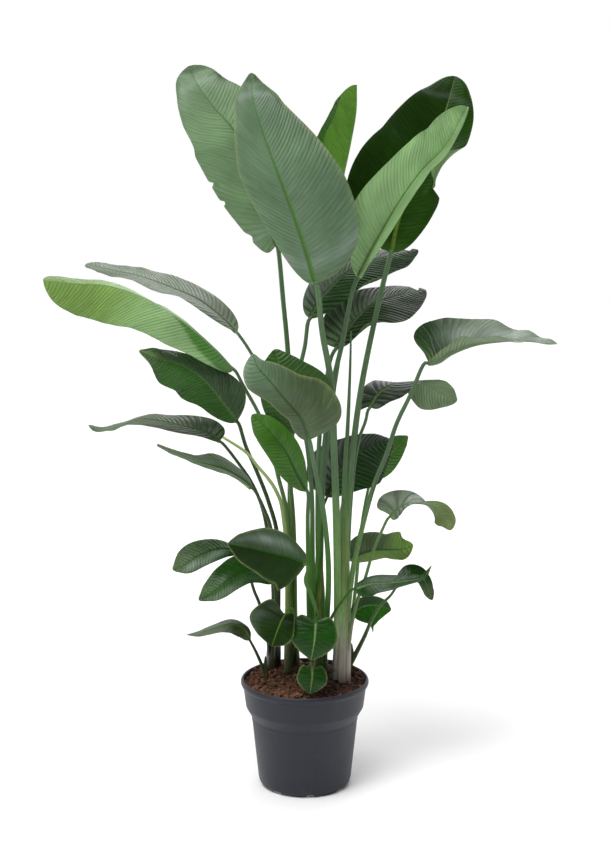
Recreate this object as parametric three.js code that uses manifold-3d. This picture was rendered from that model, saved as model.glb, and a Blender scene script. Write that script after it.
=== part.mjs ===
// White bird of paradise: a clump of young plants in a plastic nursery pot. Millimetres, +Z up.
// The origin is the middle of the pot's flat bottom, and -Y is the front of the clump.
import * as THREE from "three";
import { mergeVertices } from "three/addons/utils/BufferGeometryUtils.js";
import Module from "manifold-3d";

// the pot
const POT_HEIGHT = 231;
const RIM_RADIUS = 135.5;
const COLLAR_TOP = 216;
const COLLAR_TOP_RADIUS = 130;
const COLLAR_FOOT = 172;
const COLLAR_FOOT_RADIUS = 124.5;
const STEP_FOOT = 150;
const STEP_FOOT_RADIUS = 112.3;
const WALL_FOOT = 16;
const WALL_FOOT_RADIUS = 98.5;
const BASE_RADIUS = 88;
const WALL = 2.3;
const FLOOR = 3;
const POT_SIDES = 40;
const DRAIN_HOLES = 8;
const DRAIN_HOLE_RADIUS = 5;
const DRAIN_RING = 70;
const NOTCHES = 8;
const NOTCH_WIDTH = 14;
const NOTCH_HEIGHT = 5;

// the soil
const GAP = 0.35;
const SOIL_LEVEL = 223;
const SHOOT_DEPTH = 170;
const SOIL_RADIUS = 127;

// the leaves
const BLADE_THICKNESS = 1.0;
const BLADE_ROWS = 10;
const SMALL_ROWS = 8;
const SMALL_LEAF = 150;
const HALF_COLUMNS = 3;
const STALK_SIDES = 6;
const STALK_STEP = 125;
const SHEATH_SIDES = 14;
const LOBE_PLACE = 0.07;
const SWEEP = 0.25;
const CURVE_STEPS = 24;

// Each shoot: the middle of its foot, then its sheathed base as rings of height, centre and radii.
const SHOOTS = {
  shoot_1: { foot: [-67, 56, 16, 21], rings: [[300, -66, 54, 13, 18], [360, -64, 52, 9, 14]] },
  shoot_2: { foot: [-27, 58, 17, 17], rings: [[330, -28, 58, 12, 14], [430, -30, 56, 7, 10]] },
  shoot_3: {
    foot: [28, -5, 21, 31],
    rings: [[320, 28, -6, 16, 25], [420, 30, -4, 11, 18], [480, 31, -2, 6, 9]],
  },
  shoot_4: {
    foot: [77, -7, 19, 18],
    rings: [[330, 80, -6, 17, 16], [480, 80, -3, 13, 13], [590, 81, 0, 8, 9]],
  },
  shoot_5: { foot: [95, 49, 7, 7], rings: [[262, 100, 42, 5.5, 6]] },
  shoot_6: { foot: [-82, -5, 6, 6], rings: [[250, -83, -7, 4, 4]] },
  shoot_7: { foot: [8, -61, 6, 6], rings: [[248, 9, -62, 4, 4]] },
};

// The rolled new leaf of the right-hand shoot, and the pale old stalk on the left.
const SPEAR = {
  route: [[95, 25, 965], [93, 21, 880], [89, 14, 775], [84, 6, 680], [80, -1, 560], [77, -7, 400]],
  radii: [1.6, 8],
};
const OLD_STALK = {
  foot: [-36, 9, 8, 7],
  route: [[-165, -60, 760], [-120, -50, 728], [-98, -40, 698], [-74, -34, 668], [-56, -28, 636],
    [-45, -20, 595], [-36, -5, 480], [-36, 9, 236]],
  radii: [3, 7],
};

// Each leaf: its midrib from foot to tip, half widths left and right at even steps along it, the way
// its upper side faces, the fold of each half in degrees at the midrib and at the margin, the lobe of
// each half behind the foot, the wave of the margin, and its stalk down to the shoot.
const LEAVES = [
  {
    name: "leaf_01",
    shoot: "shoot_2",
    rib: [[-58, 95, 1133], [-88, 80, 1223], [-136, 85, 1354], [-186, 100, 1416], [-221, 125, 1463],
      [-238, 165, 1500]],
    left: [62, 90, 100, 84, 54],
    right: [60, 85, 95, 76, 88],
    face: [[0.1, -1, 0.2], [0.1, -1, 0.3], [0, -1, 0.8]],
    folds: [14, -5, 14, -5],
    lobes: [30, 25],
    stalk: [[-45, 95, 1020], [-35, 90, 905], [-30, 78, 750], [-31, 68, 560], [-32, 60, 250]],
    radii: [4.6, 7],
  },
  {
    name: "leaf_02",
    shoot: "shoot_4",
    rib: [[22, -85, 1073], [-9, -95, 1176], [-46, -92, 1275], [-83, -72, 1373], [-101, -45, 1434],
      [-106, 0, 1483]],
    left: [66, 66, 74, 56, 58],
    right: [188, 136, 103, 74, 68],
    face: [[0, -1, 0.25], [0, -1, 0.3], [0, -1, 0.8]],
    folds: [12, 0, 12, -12],
    stalk: [[35, -70, 975], [54, -50, 860], [61, -36, 695], [66, -28, 555], [69, -18, 405],
      [70, -12, 250]],
    radii: [5.4, 9],
  },
  {
    name: "leaf_03",
    shoot: "shoot_3",
    rib: [[65, 215, 1083], [69, 225, 1167], [77, 232, 1250], [96, 240, 1336], [109, 250, 1405],
      [111, 265, 1462]],
    left: [60, 75, 80, 80, 80],
    right: [60, 70, 70, 70, 72],
    face: [[-1, 0, 0], [-1, -0.1, 0]],
    folds: [70, 80, 60, 62],
    stalk: [[74, 190, 1010], [74, 165, 905], [62, 130, 825], [50, 100, 725], [37, 62, 600],
      [31, 14, 260]],
    radii: [3.6, 6],
  },
  {
    name: "leaf_04",
    shoot: "shoot_4",
    rib: [[177, 55, 1124], [193, 66, 1193], [222, 80, 1261], [257, 100, 1334], [289, 128, 1406],
      [312, 170, 1479]],
    left: [185, 146, 108, 98, 90],
    right: [90, 72, 66, 80, 88],
    face: [[0.1, -1, 0.1], [0.1, -1, 0.2], [0.1, -1, 0.6]],
    folds: [6, 0, 12, -5],
    wave: [10, 2.2, 0.1],
    stalk: [[155, 45, 1035], [127, 30, 905], [110, 20, 805], [95, 10, 675], [86, 0, 550],
      [81, -6, 405], [79, -8, 250]],
    radii: [5, 8],
  },
  {
    name: "leaf_05",
    shoot: "shoot_3",
    rib: [[107, -25, 1081], [142, -38, 1150], [187, -48, 1230], [231, -52, 1293], [278, -48, 1343],
      [321, -20, 1417]],
    left: [60, 86, 62, 64, 80],
    right: [60, 70, 60, 58, 74],
    face: [[-0.4, -0.85, 0.3]],
    folds: [40, 30, 55, 45],
    stalk: [[93, -20, 1040], [76, -10, 945], [58, 0, 860], [42, 0, 740], [34, 0, 600], [30, -5, 445],
      [27, -9, 250]],
    radii: [4.4, 7.4],
  },
  {
    name: "leaf_06",
    shoot: "shoot_2",
    rib: [[-142, 60, 960], [-164, 80, 979], [-194, 102, 1001], [-229, 128, 1021], [-286, 168, 1040],
      [-354, 212, 1059], [-418, 252, 1068], [-478, 285, 1078]],
    left: [50, 48, 46, 46, 46],
    right: [50, 50, 46, 46, 46],
    face: [[0, -0.1, 1], [0, -0.1, 1], [0, -0.3, 1]],
    folds: [[10, 6, 4, 2], [6, 4, 2, 0], [12, 10, 8, 4], [16, 12, 6, 2]],
    wave: [3, 3, 0],
    stalk: [[-110, 50, 915], [-75, 40, 850], [-48, 35, 755], [-31, 36, 650], [-22, 45, 520],
      [-20, 55, 250]],
    radii: [3.3, 5.5],
  },
  {
    name: "leaf_07",
    shoot: "shoot_2",
    rib: [[11, 60, 988], [32, 80, 1023], [59, 105, 1051], [93, 135, 1077], [160, 185, 1100],
      [244, 240, 1113]],
    left: [75, 70, 60, 50, 42],
    right: [55, 60, 66, 60, 50],
    face: [[-0.3, -0.5, 0.8], [0, -0.45, 0.9]],
    folds: [0, -10, -15, -35],
    stalk: [[0, 60, 930], [-12, 61, 870], [-26, 65, 750], [-30, 67, 600], [-28, 66, 405],
      [-25, 64, 250]],
    radii: [4.1, 6.4],
  },
  {
    name: "leaf_08",
    shoot: "shoot_3",
    rib: [[64, 40, 928], [92, 60, 967], [119, 85, 995], [153, 115, 1014], [202, 160, 1024],
      [260, 210, 1029]],
    left: [110, 85, 60, 48, 42],
    right: [45, 55, 68, 62, 54],
    face: [[-0.5, -0.6, 0.6], [0, -0.5, 0.85]],
    folds: [5, 0, -15, -35],
    lobes: [10, 0],
    stalk: [[50, 35, 895], [38, 35, 820], [29, 33, 715], [27, 30, 565], [30, 20, 395], [30, 8, 250]],
    radii: [4.1, 6.4],
  },
  {
    name: "leaf_09",
    shoot: "shoot_2",
    rib: [[-144, -18, 894], [-183, -44, 941], [-248, -72, 1002], [-320, -102, 1049], [-384, -130, 1074],
      [-444, -158, 1081], [-501, -188, 1090]],
    left: [82, 72, 76, 98, 104],
    right: [60, 56, 50, 50, 50],
    face: [[0, -0.4, 0.9], [0, -0.4, 0.9], [0, -0.5, 0.85], [-0.1, -0.8, 0.6]],
    folds: [[-8, -14, -20, 0], [-32, -38, -40, -20], -18, -30],
    wave: [2.5, 3.5, 0.2],
    stalk: [[-124, 0, 855], [-92, 14, 790], [-70, 22, 725], [-55, 28, 660], [-35, 36, 565],
      [-30, 45, 410], [-29, 52, 250]],
    radii: [3.7, 6.4],
  },
  {
    name: "leaf_10",
    shoot: "shoot_3",
    rib: [[8, -190, 780], [-7, -205, 826], [-36, -215, 863], [-67, -220, 901], [-90, -216, 927],
      [-99, -205, 951]],
    left: [45, 24, 28, 54, 50],
    right: [135, 90, 52, 40, 28],
    face: [[-0.1, -1, 0.4], [-0.1, -1, 0.5], [-0.2, -1, 0.7]],
    folds: [8, -10, 8, -12],
    stalk: [[19, -165, 720], [30, -140, 665], [40, -110, 600], [48, -70, 505], [48, -46, 415],
      [38, -22, 250]],
    radii: [4.1, 6.4],
  },
  {
    name: "leaf_11",
    shoot: "shoot_3",
    rib: [[-2, -82, 775], [-17, -90, 821], [-33, -94, 862], [-49, -94, 907], [-59, -84, 943]],
    left: [70, 66, 58, 52, 50],
    right: [110, 95, 78, 58, 52],
    face: [[0.1, -1, 0.4]],
    folds: [8, -5, 8, -5],
    stalk: [[8, -68, 715], [15, -50, 625], [16, -30, 495], [20, -10, 360], [22, 0, 250]],
    radii: [3.7, 6.4],
  },
  {
    name: "leaf_12",
    shoot: "shoot_4",
    rib: [[250, -30, 907], [271, -38, 914], [296, -50, 932], [340, -75, 952], [395, -108, 963],
      [450, -142, 967], [490, -165, 965]],
    left: [165, 84, 52, 42, 30],
    right: [45, 45, 40, 32, 24],
    face: [[0, -0.3, 1]],
    folds: [[46, 44, 24, 5, 0], [32, 28, 10, 0, 0], [45, 40, 30, 15, 0], [45, 45, 40, 20, 0]],
    lobes: [46, 0],
    wave: [4, 4, 0],
    stalk: [[215, -35, 845], [187, -38, 785], [166, -40, 720], [140, -35, 650], [115, -29, 550],
      [98, -20, 460], [86, -10, 330], [83, -8, 250]],
    radii: [4, 6.6],
  },
  {
    name: "leaf_13",
    shoot: "shoot_4",
    rib: [[135, 30, 806], [156, 48, 834], [193, 72, 849], [232, 95, 848], [271, 118, 831],
      [323, 142, 797]],
    left: [62, 55, 42, 75, 80],
    right: [45, 48, 40, 45, 50],
    face: [[-0.2, -0.6, 0.7], [0, -0.35, 0.9], [0, 0.35, 0.9], [0, 0.8, 0.6], [0, 0.85, 0.5]],
    folds: [-5, -15, -5, -15],
    lobes: [34, 8],
    stalk: [[125, 27, 775], [111, 24, 735], [102, 20, 675], [95, 15, 590], [90, 9, 485],
      [84, 3, 355], [80, 0, 250]],
    radii: [3.3, 4.6],
  },
  {
    name: "leaf_14",
    shoot: "shoot_3",
    rib: [[47, 75, 605], [62, 90, 636], [83, 105, 665], [114, 122, 690], [148, 142, 703],
      [190, 165, 708]],
    left: [110, 88, 52, 40, 40],
    right: [60, 75, 80, 76, 72],
    face: [[-0.4, -0.8, 0.4], [-0.1, -0.8, 0.6]],
    folds: [5, -10, -10, -25],
    stalk: [[38, 70, 580], [28, 55, 515], [24, 38, 390], [25, 16, 250]],
    radii: [2.9, 4.6],
  },
  {
    name: "leaf_15",
    shoot: "shoot_4",
    rib: [[151, 190, 618], [166, 192, 640], [183, 195, 664], [203, 200, 687], [225, 208, 710]],
    left: [38, 36, 34, 32, 30],
    right: [30, 28, 24, 20, 18],
    face: [[0.3, -1, 0.1]],
    folds: [0, 0, 0, 0],
    stalk: [[137, 170, 595], [122, 135, 520], [110, 90, 410], [95, 45, 300], [84, 2, 248]],
    radii: [2.9, 4.6],
  },
  {
    name: "leaf_16",
    shoot: "shoot_1",
    rib: [[-138, -40, 789], [-167, -54, 831], [-204, -76, 880], [-248, -100, 914], [-289, -126, 930],
      [-323, -152, 949]],
    left: [48, 50, 66, 78, 70],
    right: [120, 62, 36, 32, 42],
    face: [[0.1, -0.75, 0.65], [0, -0.75, 0.65]],
    folds: [5, -10, 5, -10],
    wave: [3, 3, 0],
    stalk: [[-120, -30, 735], [-99, -14, 680], [-75, 6, 610], [-57, 25, 530], [-56, 48, 410],
      [-60, 62, 250]],
    radii: [3.7, 5.5],
  },
  {
    name: "leaf_17",
    shoot: "shoot_1",
    rib: [[-177, 40, 732], [-206, 52, 747], [-251, 74, 756], [-306, 98, 764], [-355, 122, 764],
      [-400, 148, 746], [-442, 172, 733], [-468, 190, 738]],
    left: [35, 35, 35, 32, 30],
    right: [72, 45, 32, 30, 28],
    face: [[0, -0.15, 1], [0, 0, 1], [0, -0.1, 1]],
    folds: [[-5, -5, -10, -5], -20, [45, 15, 5, 5], [30, 10, 0, 0]],
    lobes: [0, 12],
    stalk: [[-137, 36, 685], [-108, 33, 640], [-85, 40, 575], [-71, 50, 475], [-66, 58, 385],
      [-66, 62, 250]],
    radii: [3.3, 5.5],
  },
  {
    name: "leaf_18",
    shoot: "shoot_1",
    rib: [[-108, -50, 654], [-136, -62, 678], [-167, -78, 698], [-200, -100, 713], [-244, -130, 735],
      [-290, -162, 762]],
    left: [40, 42, 40, 38, 38],
    right: [72, 55, 26, 30, 34],
    face: [[0, -0.1, 1]],
    folds: [0, -10, [20, 35, 12, 25], [10, 20, 10, 15]],
    lobes: [0, 12],
    stalk: [[-82, -40, 605], [-70, -30, 565], [-61, -8, 490], [-58, 20, 395], [-62, 46, 250]],
    radii: [3.7, 6.4],
  },
  {
    name: "leaf_19",
    shoot: "shoot_3",
    rib: [[3, -105, 659], [-15, -115, 696], [-39, -122, 746], [-69, -122, 784], [-105, -115, 816]],
    left: [32, 38, 38, 40, 45],
    right: [20, 28, 30, 32, 38],
    face: [[0.15, -1, 0.3]],
    folds: [15, 0, 15, 0],
    stalk: [[6, -85, 595], [7, -62, 505], [9, -36, 390], [15, -10, 250]],
    radii: [3.7, 6],
  },
  {
    name: "leaf_20",
    shoot: "shoot_4",
    rib: [[174, -60, 596], [192, -68, 615], [215, -80, 628], [243, -96, 630], [268, -112, 621],
      [285, -124, 603], [293, -130, 584]],
    left: [84, 60, 32, 38, 40],
    right: [35, 36, 34, 45, 48],
    face: [[-0.2, -0.5, 0.8], [0, -0.25, 1], [0.2, 0.35, 0.9], [0.3, 0.8, 0.5], [0.3, 0.9, 0.4]],
    folds: [[20, 5, -5, -5], [10, -5, -15, -15], -5, -15],
    lobes: [28, 6],
    stalk: [[158, -52, 565], [141, -45, 520], [124, -35, 455], [106, -26, 395], [92, -18, 320],
      [85, -12, 250]],
    radii: [2.9, 4.6],
  },
  {
    name: "leaf_21",
    shoot: "shoot_4",
    rib: [[96, 55, 472], [122, 66, 483], [152, 78, 488], [186, 86, 486], [214, 88, 488],
      [231, 84, 498]],
    left: [60, 46, 34, 52, 62],
    right: [30, 26, 22, 44, 48],
    face: [[0, -0.8, 0.5]],
    folds: [[0, 5, 15, 10], [10, 20, 50, 40], [0, 5, 15, 10], [10, 20, 50, 40]],
    stalk: [[89, 45, 430], [86, 26, 335], [83, 3, 250]],
    radii: [3.3, 4.6],
  },
  {
    name: "leaf_22",
    shoot: "shoot_3",
    rib: [[101, -70, 445], [138, -75, 457], [174, -80, 460], [215, -85, 466], [243, -90, 476],
      [258, -92, 500]],
    left: [28, 22, 16, 12, 10],
    right: [52, 24, 14, 10, 8],
    face: [[0, -0.4, 0.9]],
    folds: [20, 15, [-50, -10, 5, 5], [-70, -20, 0, 0]],
    stalk: [[82, -66, 425], [60, -58, 390], [48, -44, 350], [38, -24, 250]],
    radii: [2.5, 4.6],
  },
  {
    name: "leaf_23",
    shoot: "shoot_5",
    rib: [[194, -20, 437], [212, -15, 452], [232, -12, 458], [250, -12, 445], [266, -15, 405]],
    left: [28, 30, 16, 14, 20],
    right: [12, 15, 14, 16, 24],
    face: [[0, -0.7, 0.7]],
    folds: [0, 10, 0, -20],
    stalk: [[178, -18, 415], [157, -9, 390], [140, 4, 355], [126, 17, 315], [107, 36, 268],
      [97, 47, 244]],
    radii: [2.5, 4.6],
  },
  {
    name: "leaf_24",
    shoot: "shoot_4",
    rib: [[101, 46, 352], [118, 48, 369], [139, 50, 375], [161, 52, 372], [184, 56, 362]],
    left: [22, 22, 20, 20, 20],
    right: [60, 64, 52, 40, 28],
    face: [[0, -1, 0.4]],
    folds: [20, 20, 0, 0],
    stalk: [[91, 34, 316], [88, 20, 276], [84, 3, 248]],
    radii: [2.5, 3.7],
  },
  {
    name: "leaf_25",
    shoot: "shoot_3",
    rib: [[2, -150, 519], [-25, -162, 535], [-65, -172, 548], [-108, -183, 561], [-151, -195, 572]],
    left: [150, 70, 50, 44, 34],
    right: [60, 64, 60, 48, 45],
    face: [[0, -0.45, 0.88]],
    folds: [-55, -85, 15, 5],
    lobes: [0, 12],
    stalk: [[2, -132, 480], [13, -110, 445], [24, -82, 400], [30, -50, 330], [30, -28, 250]],
    radii: [3.3, 5.5],
  },
  {
    name: "leaf_26",
    shoot: "shoot_1",
    rib: [[-140, -20, 508], [-163, -28, 518], [-191, -38, 517], [-221, -52, 508], [-245, -68, 495],
      [-269, -84, 489]],
    left: [28, 28, 28, 28, 28],
    right: [30, 36, 40, 40, 35],
    face: [[0, -0.35, 0.9], [0, -0.5, 0.85]],
    folds: [-10, -30, 10, 5],
    stalk: [[-128, -15, 485], [-116, -10, 460], [-105, -2, 420], [-95, 9, 390], [-80, 30, 325],
      [-72, 48, 250]],
    radii: [2.9, 4.6],
  },
  {
    name: "leaf_27",
    shoot: "shoot_1",
    rib: [[-68, -40, 449], [-94, -52, 469], [-123, -66, 477], [-155, -84, 468], [-186, -104, 450],
      [-214, -122, 436]],
    left: [25, 28, 30, 34, 32],
    right: [45, 45, 36, 34, 32],
    face: [[0, -0.5, 0.85], [0, -0.6, 0.8]],
    folds: [0, -10, [35, 35, 10, 5], [60, 50, 5, 0]],
    stalk: [[-60, -25, 410], [-58, 5, 335], [-62, 42, 250]],
    radii: [2.5, 4.6],
  },
  {
    name: "leaf_28",
    shoot: "shoot_6",
    rib: [[-114, -30, 323], [-126, -38, 349], [-151, -48, 363], [-185, -60, 358], [-216, -72, 351],
      [-242, -84, 351]],
    left: [35, 25, 12, 10, 10],
    right: [22, 18, 12, 10, 10],
    face: [[0, -0.5, 0.85]],
    folds: [-30, -50, 0, -10],
    stalk: [[-102, -21, 295], [-91, -12, 265], [-83, -6, 240]],
    radii: [2.4, 3.2],
  },
  {
    name: "leaf_29",
    shoot: "shoot_2",
    rib: [[-40, -95, 399], [-48, -105, 387], [-57, -110, 365], [-67, -112, 336]],
    left: [30, 34, 36, 36, 36],
    right: [88, 72, 64, 54, 50],
    face: [[-0.2, -0.8, 0.6], [-0.2, -1, 0.2]],
    folds: [5, -10, 5, -10],
    lobes: [16, 26],
    stalk: [[-31, -84, 408], [-22, -66, 395], [-16, -25, 335], [-22, 46, 248]],
    radii: [2.5, 3.7],
  },
  {
    name: "leaf_30",
    shoot: "shoot_3",
    rib: [[22, -100, 386], [21, -110, 365], [19, -116, 344], [13, -120, 309]],
    left: [62, 50, 44, 34, 26],
    right: [66, 56, 50, 40, 28],
    face: [[0, -0.8, 0.6], [0, -1, 0.2]],
    folds: [5, -10, 5, -10],
    lobes: [14, 18],
    stalk: [[26, -88, 392], [34, -74, 380], [36, -60, 330], [33, -28, 248]],
    radii: [2.9, 4.1],
  },
  {
    name: "leaf_31",
    shoot: "shoot_7",
    rib: [[15, -105, 285], [15, -110, 269], [13, -113, 253], [11, -115, 235]],
    left: [40, 34, 30, 24, 20],
    right: [40, 34, 30, 24, 20],
    face: [[0, -0.8, 0.6], [0, -1, 0.2]],
    folds: [5, -10, 5, -10],
    lobes: [10, 12],
    stalk: [[16, -97, 292], [14, -86, 292], [10, -70, 272], [8, -62, 240]],
    radii: [2.5, 3.7],
  },
];

const wasm = await Module();
wasm.setup();

// booleans
function solidOf(geometry) {
  const bare = geometry.clone();
  bare.deleteAttribute("normal");
  bare.deleteAttribute("uv");
  const merged = mergeVertices(bare, 1e-4);
  const place = merged.getAttribute("position");
  const index = merged.getIndex().array;
  const triangles = [];
  for (let i = 0; i < index.length; i += 3) {
    const [a, b, c] = [index[i], index[i + 1], index[i + 2]];
    if (a !== b && b !== c && c !== a) triangles.push(a, b, c);
  }
  const vertProperties = new Float32Array(place.array);
  const triVerts = new Uint32Array(triangles);
  return new wasm.Manifold(new wasm.Mesh({ numProp: 3, vertProperties, triVerts }));
}

function geometryOf(solid) {
  const mesh = solid.getMesh();
  const places = [];
  for (let i = 0; i < mesh.numVert; i += 1) {
    const k = i * mesh.numProp;
    places.push(mesh.vertProperties[k], mesh.vertProperties[k + 1], mesh.vertProperties[k + 2]);
  }
  const geometry = new THREE.BufferGeometry();
  geometry.setAttribute("position", new THREE.Float32BufferAttribute(places, 3));
  geometry.setIndex(Array.from(mesh.triVerts));
  geometry.computeVertexNormals();
  return geometry;
}

function bodyOf(points, triangles) {
  const geometry = new THREE.BufferGeometry();
  const places = points.flatMap((p) => [p.x, p.y, p.z]);
  geometry.setAttribute("position", new THREE.Float32BufferAttribute(places, 3));
  geometry.setIndex(triangles);
  geometry.computeVertexNormals();
  return geometry;
}

// curves
function vector(p) {
  return new THREE.Vector3(p[0], p[1], p[2]);
}

function sampled(points) {
  const curve = new THREE.CatmullRomCurve3(points, false, "catmullrom", 0.5);
  const steps = (points.length - 1) * CURVE_STEPS;
  const places = [];
  const lengths = [0];
  for (let i = 0; i <= steps; i += 1) {
    places.push(curve.getPoint(i / steps));
    if (i > 0) lengths.push(lengths[i - 1] + places[i].distanceTo(places[i - 1]));
  }
  const tangents = places.map((p, i) => {
    const before = places[Math.max(i - 1, 0)];
    const after = places[Math.min(i + 1, steps)];
    return after.clone().sub(before).normalize();
  });
  return { places, lengths, tangents, length: lengths[steps] };
}

function between(list, lengths, s) {
  let i = 1;
  while (i < lengths.length - 1 && lengths[i] < s) i += 1;
  const part = (s - lengths[i - 1]) / (lengths[i] - lengths[i - 1]);
  return list[i - 1].clone().lerp(list[i], part);
}

function along(list, x) {
  if (typeof list === "number") return list;
  if (list.length === 1) return list[0];
  const k = Math.min(Math.floor(x * (list.length - 1)), list.length - 2);
  const part = x * (list.length - 1) - k;
  return list[k] * (1 - part) + list[k + 1] * part;
}

function facing(face, x) {
  return vector([0, 1, 2].map((axis) => along(face.map((f) => f[axis]), x)));
}

// the blade of a leaf
function ribOf(leaf) {
  const rib = sampled(leaf.rib.map(vector));
  rib.at = (s) => {
    const q = Math.min(Math.max(s, 0), rib.length);
    const tangent = between(rib.tangents, rib.lengths, q).normalize();
    const up = facing(leaf.face, q / rib.length);
    up.addScaledVector(tangent, -up.dot(tangent)).normalize();
    const centre = between(rib.places, rib.lengths, q).addScaledVector(tangent, s - q);
    return { centre, tangent, up, side: tangent.clone().cross(up) };
  };
  return rib;
}

function halfWidth(leaf, side, x) {
  const swept = x + SWEEP * x * (1 - x);
  const full = x > 0 && x < 1 ? Math.sqrt(Math.sin(Math.PI * swept)) : 0;
  const widths = side < 0 ? leaf.left : leaf.right;
  const least = x < 0.5 ? leaf.radii[0] + 1.5 : 1.4;
  return Math.max(along(widths, x) * full, least);
}

function bladePoint(leaf, rib, x, side, a) {
  const width = halfWidth(leaf, side, x);
  const lobes = leaf.lobes ?? [0, 0];
  const lobe = side < 0 ? lobes[0] : lobes[1];
  const back = (x / LOBE_PLACE) * Math.exp(1 - x / LOBE_PLACE);
  const swept = x + SWEEP * x * (1 - x);
  const middle = rib.length * x;
  const margin = rib.length * swept - lobe * back;
  const s = middle + (margin - middle) * Math.pow(a, 1.8);
  const k = side < 0 ? 0 : 2;
  const start = THREE.MathUtils.degToRad(along(leaf.folds[k], x));
  let turn = THREE.MathUtils.degToRad(along(leaf.folds[k + 1], x)) - start;
  if (Math.abs(turn) < 1e-4) turn = 1e-4;
  const out = (width * (Math.sin(start + turn * a) - Math.sin(start))) / turn;
  let rise = (width * (Math.cos(start) - Math.cos(start + turn * a))) / turn;
  const [height, waves, phase] = leaf.wave ?? [0, 3, 0];
  const swing = Math.sin(2 * Math.PI * (waves * x + phase + (side < 0 ? 0.5 : 0)));
  rise += height * Math.pow(a, 1.5) * swing * Math.sqrt(Math.sin(Math.PI * x));
  const { centre, up, side: right } = rib.at(s);
  return centre.addScaledVector(right, side * out).addScaledVector(up, rise);
}

function bladeOf(leaf, rib) {
  const rows = rib.length < SMALL_LEAF ? SMALL_ROWS : BLADE_ROWS;
  const half = HALF_COLUMNS;
  const wide = 2 * half;
  const grid = [];
  for (let i = 0; i <= rows; i += 1) {
    const t = i / rows;
    const x = 0.45 * t + 0.275 * (1 - Math.cos(Math.PI * t));
    const row = [];
    for (let j = -half; j <= half; j += 1) {
      const side = j < 0 ? -1 : 1;
      const ridge = Math.min(leaf.radii[0] / halfWidth(leaf, side, x), i === 0 ? 0.8 : 0.3);
      const step = (Math.abs(j) - 1) / (half - 1);
      const a = j === 0 ? 0 : ridge + (1 - ridge) * step;
      row.push(bladePoint(leaf, rib, x, side, a));
    }
    grid.push({ x, row });
  }
  const points = [];
  const faces = [1, -1];
  for (const face of faces) {
    grid.forEach(({ x, row }, i) => {
      const before = grid[Math.max(i - 1, 0)].row;
      const after = grid[Math.min(i + 1, rows)].row;
      row.forEach((p, j) => {
        const ahead = after[j].clone().sub(before[j]);
        const across = row[Math.min(j + 1, wide)].clone().sub(row[Math.max(j - 1, 0)]);
        let up = across.cross(ahead).normalize();
        const frame = rib.at(rib.length * x);
        if (i === 0 || i === rows || up.dot(frame.up) < 0.05) up = frame.up;
        const midrib = j === half && face < 0 ? 2 * leaf.radii[0] * Math.pow(1 - x, 1.3) : 0;
        points.push(p.clone().addScaledVector(up, (face * BLADE_THICKNESS) / 2 - midrib));
      });
    });
  }
  const at = (face, i, j) => (face > 0 ? 0 : (rows + 1) * (wide + 1)) + i * (wide + 1) + j;
  const triangles = [];
  const quad = (a, b, c, d) => triangles.push(a, b, c, a, c, d);
  for (let i = 0; i < rows; i += 1) {
    for (let j = 0; j < wide; j += 1) {
      quad(at(1, i, j), at(1, i, j + 1), at(1, i + 1, j + 1), at(1, i + 1, j));
      triangles.push(at(-1, i, j), at(-1, i + 1, j + 1), at(-1, i, j + 1));
      triangles.push(at(-1, i, j), at(-1, i + 1, j), at(-1, i + 1, j + 1));
    }
    quad(at(1, i, 0), at(1, i + 1, 0), at(-1, i + 1, 0), at(-1, i, 0));
    quad(at(1, i + 1, wide), at(1, i, wide), at(-1, i, wide), at(-1, i + 1, wide));
  }
  for (let j = 0; j < wide; j += 1) {
    quad(at(1, 0, j + 1), at(1, 0, j), at(-1, 0, j), at(-1, 0, j + 1));
    quad(at(1, rows, j), at(1, rows, j + 1), at(-1, rows, j + 1), at(-1, rows, j));
  }
  return bodyOf(points, triangles);
}

// rings joined into a closed tube
function loftOf(rings) {
  const sides = rings[0].length;
  const points = rings.flat();
  const triangles = [];
  for (let i = 0; i < rings.length - 1; i += 1) {
    for (let j = 0; j < sides; j += 1) {
      const a = i * sides + j;
      const b = i * sides + ((j + 1) % sides);
      triangles.push(a, b, b + sides, a, b + sides, a + sides);
    }
  }
  const last = (rings.length - 1) * sides;
  for (let j = 1; j < sides - 1; j += 1) {
    triangles.push(0, j + 1, j);
    triangles.push(last, last + j, last + j + 1);
  }
  return bodyOf(points, triangles);
}

// a tapering round stalk from its top down along a route
function stalkOf(route, radii, firstNormal) {
  const line = sampled(route);
  const count = 3 + Math.ceil(line.length / STALK_STEP);
  const rings = [];
  let normal = new THREE.Vector3(0, 1, 0);
  for (let i = 0; i <= count; i += 1) {
    const s = line.length * Math.pow(i / count, 1.15);
    const tangent = i === 0 && firstNormal ? firstNormal : between(line.tangents, line.lengths, s);
    tangent.normalize();
    normal = normal.clone().addScaledVector(tangent, -normal.dot(tangent)).normalize();
    const other = tangent.clone().cross(normal);
    const centre = between(line.places, line.lengths, s);
    const radius = radii[0] + (radii[1] - radii[0]) * (i / count);
    const ring = [];
    for (let j = 0; j < STALK_SIDES; j += 1) {
      const turn = (2 * Math.PI * j) / STALK_SIDES;
      const spoke = normal.clone().multiplyScalar(Math.cos(turn) * radius);
      ring.push(centre.clone().add(spoke).addScaledVector(other, Math.sin(turn) * radius));
    }
    rings.push(ring);
  }
  return loftOf(rings);
}

function ellipse(z, x, y, a, b) {
  const ring = [];
  for (let j = 0; j < SHEATH_SIDES; j += 1) {
    const turn = (2 * Math.PI * j) / SHEATH_SIDES;
    ring.push(new THREE.Vector3(x + a * Math.cos(turn), y + b * Math.sin(turn), z));
  }
  return ring;
}

function sheathOf(foot, rings) {
  const [x, y, a, b] = foot;
  const straight = [ellipse(SHOOT_DEPTH, x, y, a, b), ellipse(244, x, y, a, b)];
  return loftOf([...straight, ...rings.map(([z, cx, cy, ra, rb]) => ellipse(z, cx, cy, ra, rb))]);
}

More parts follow.
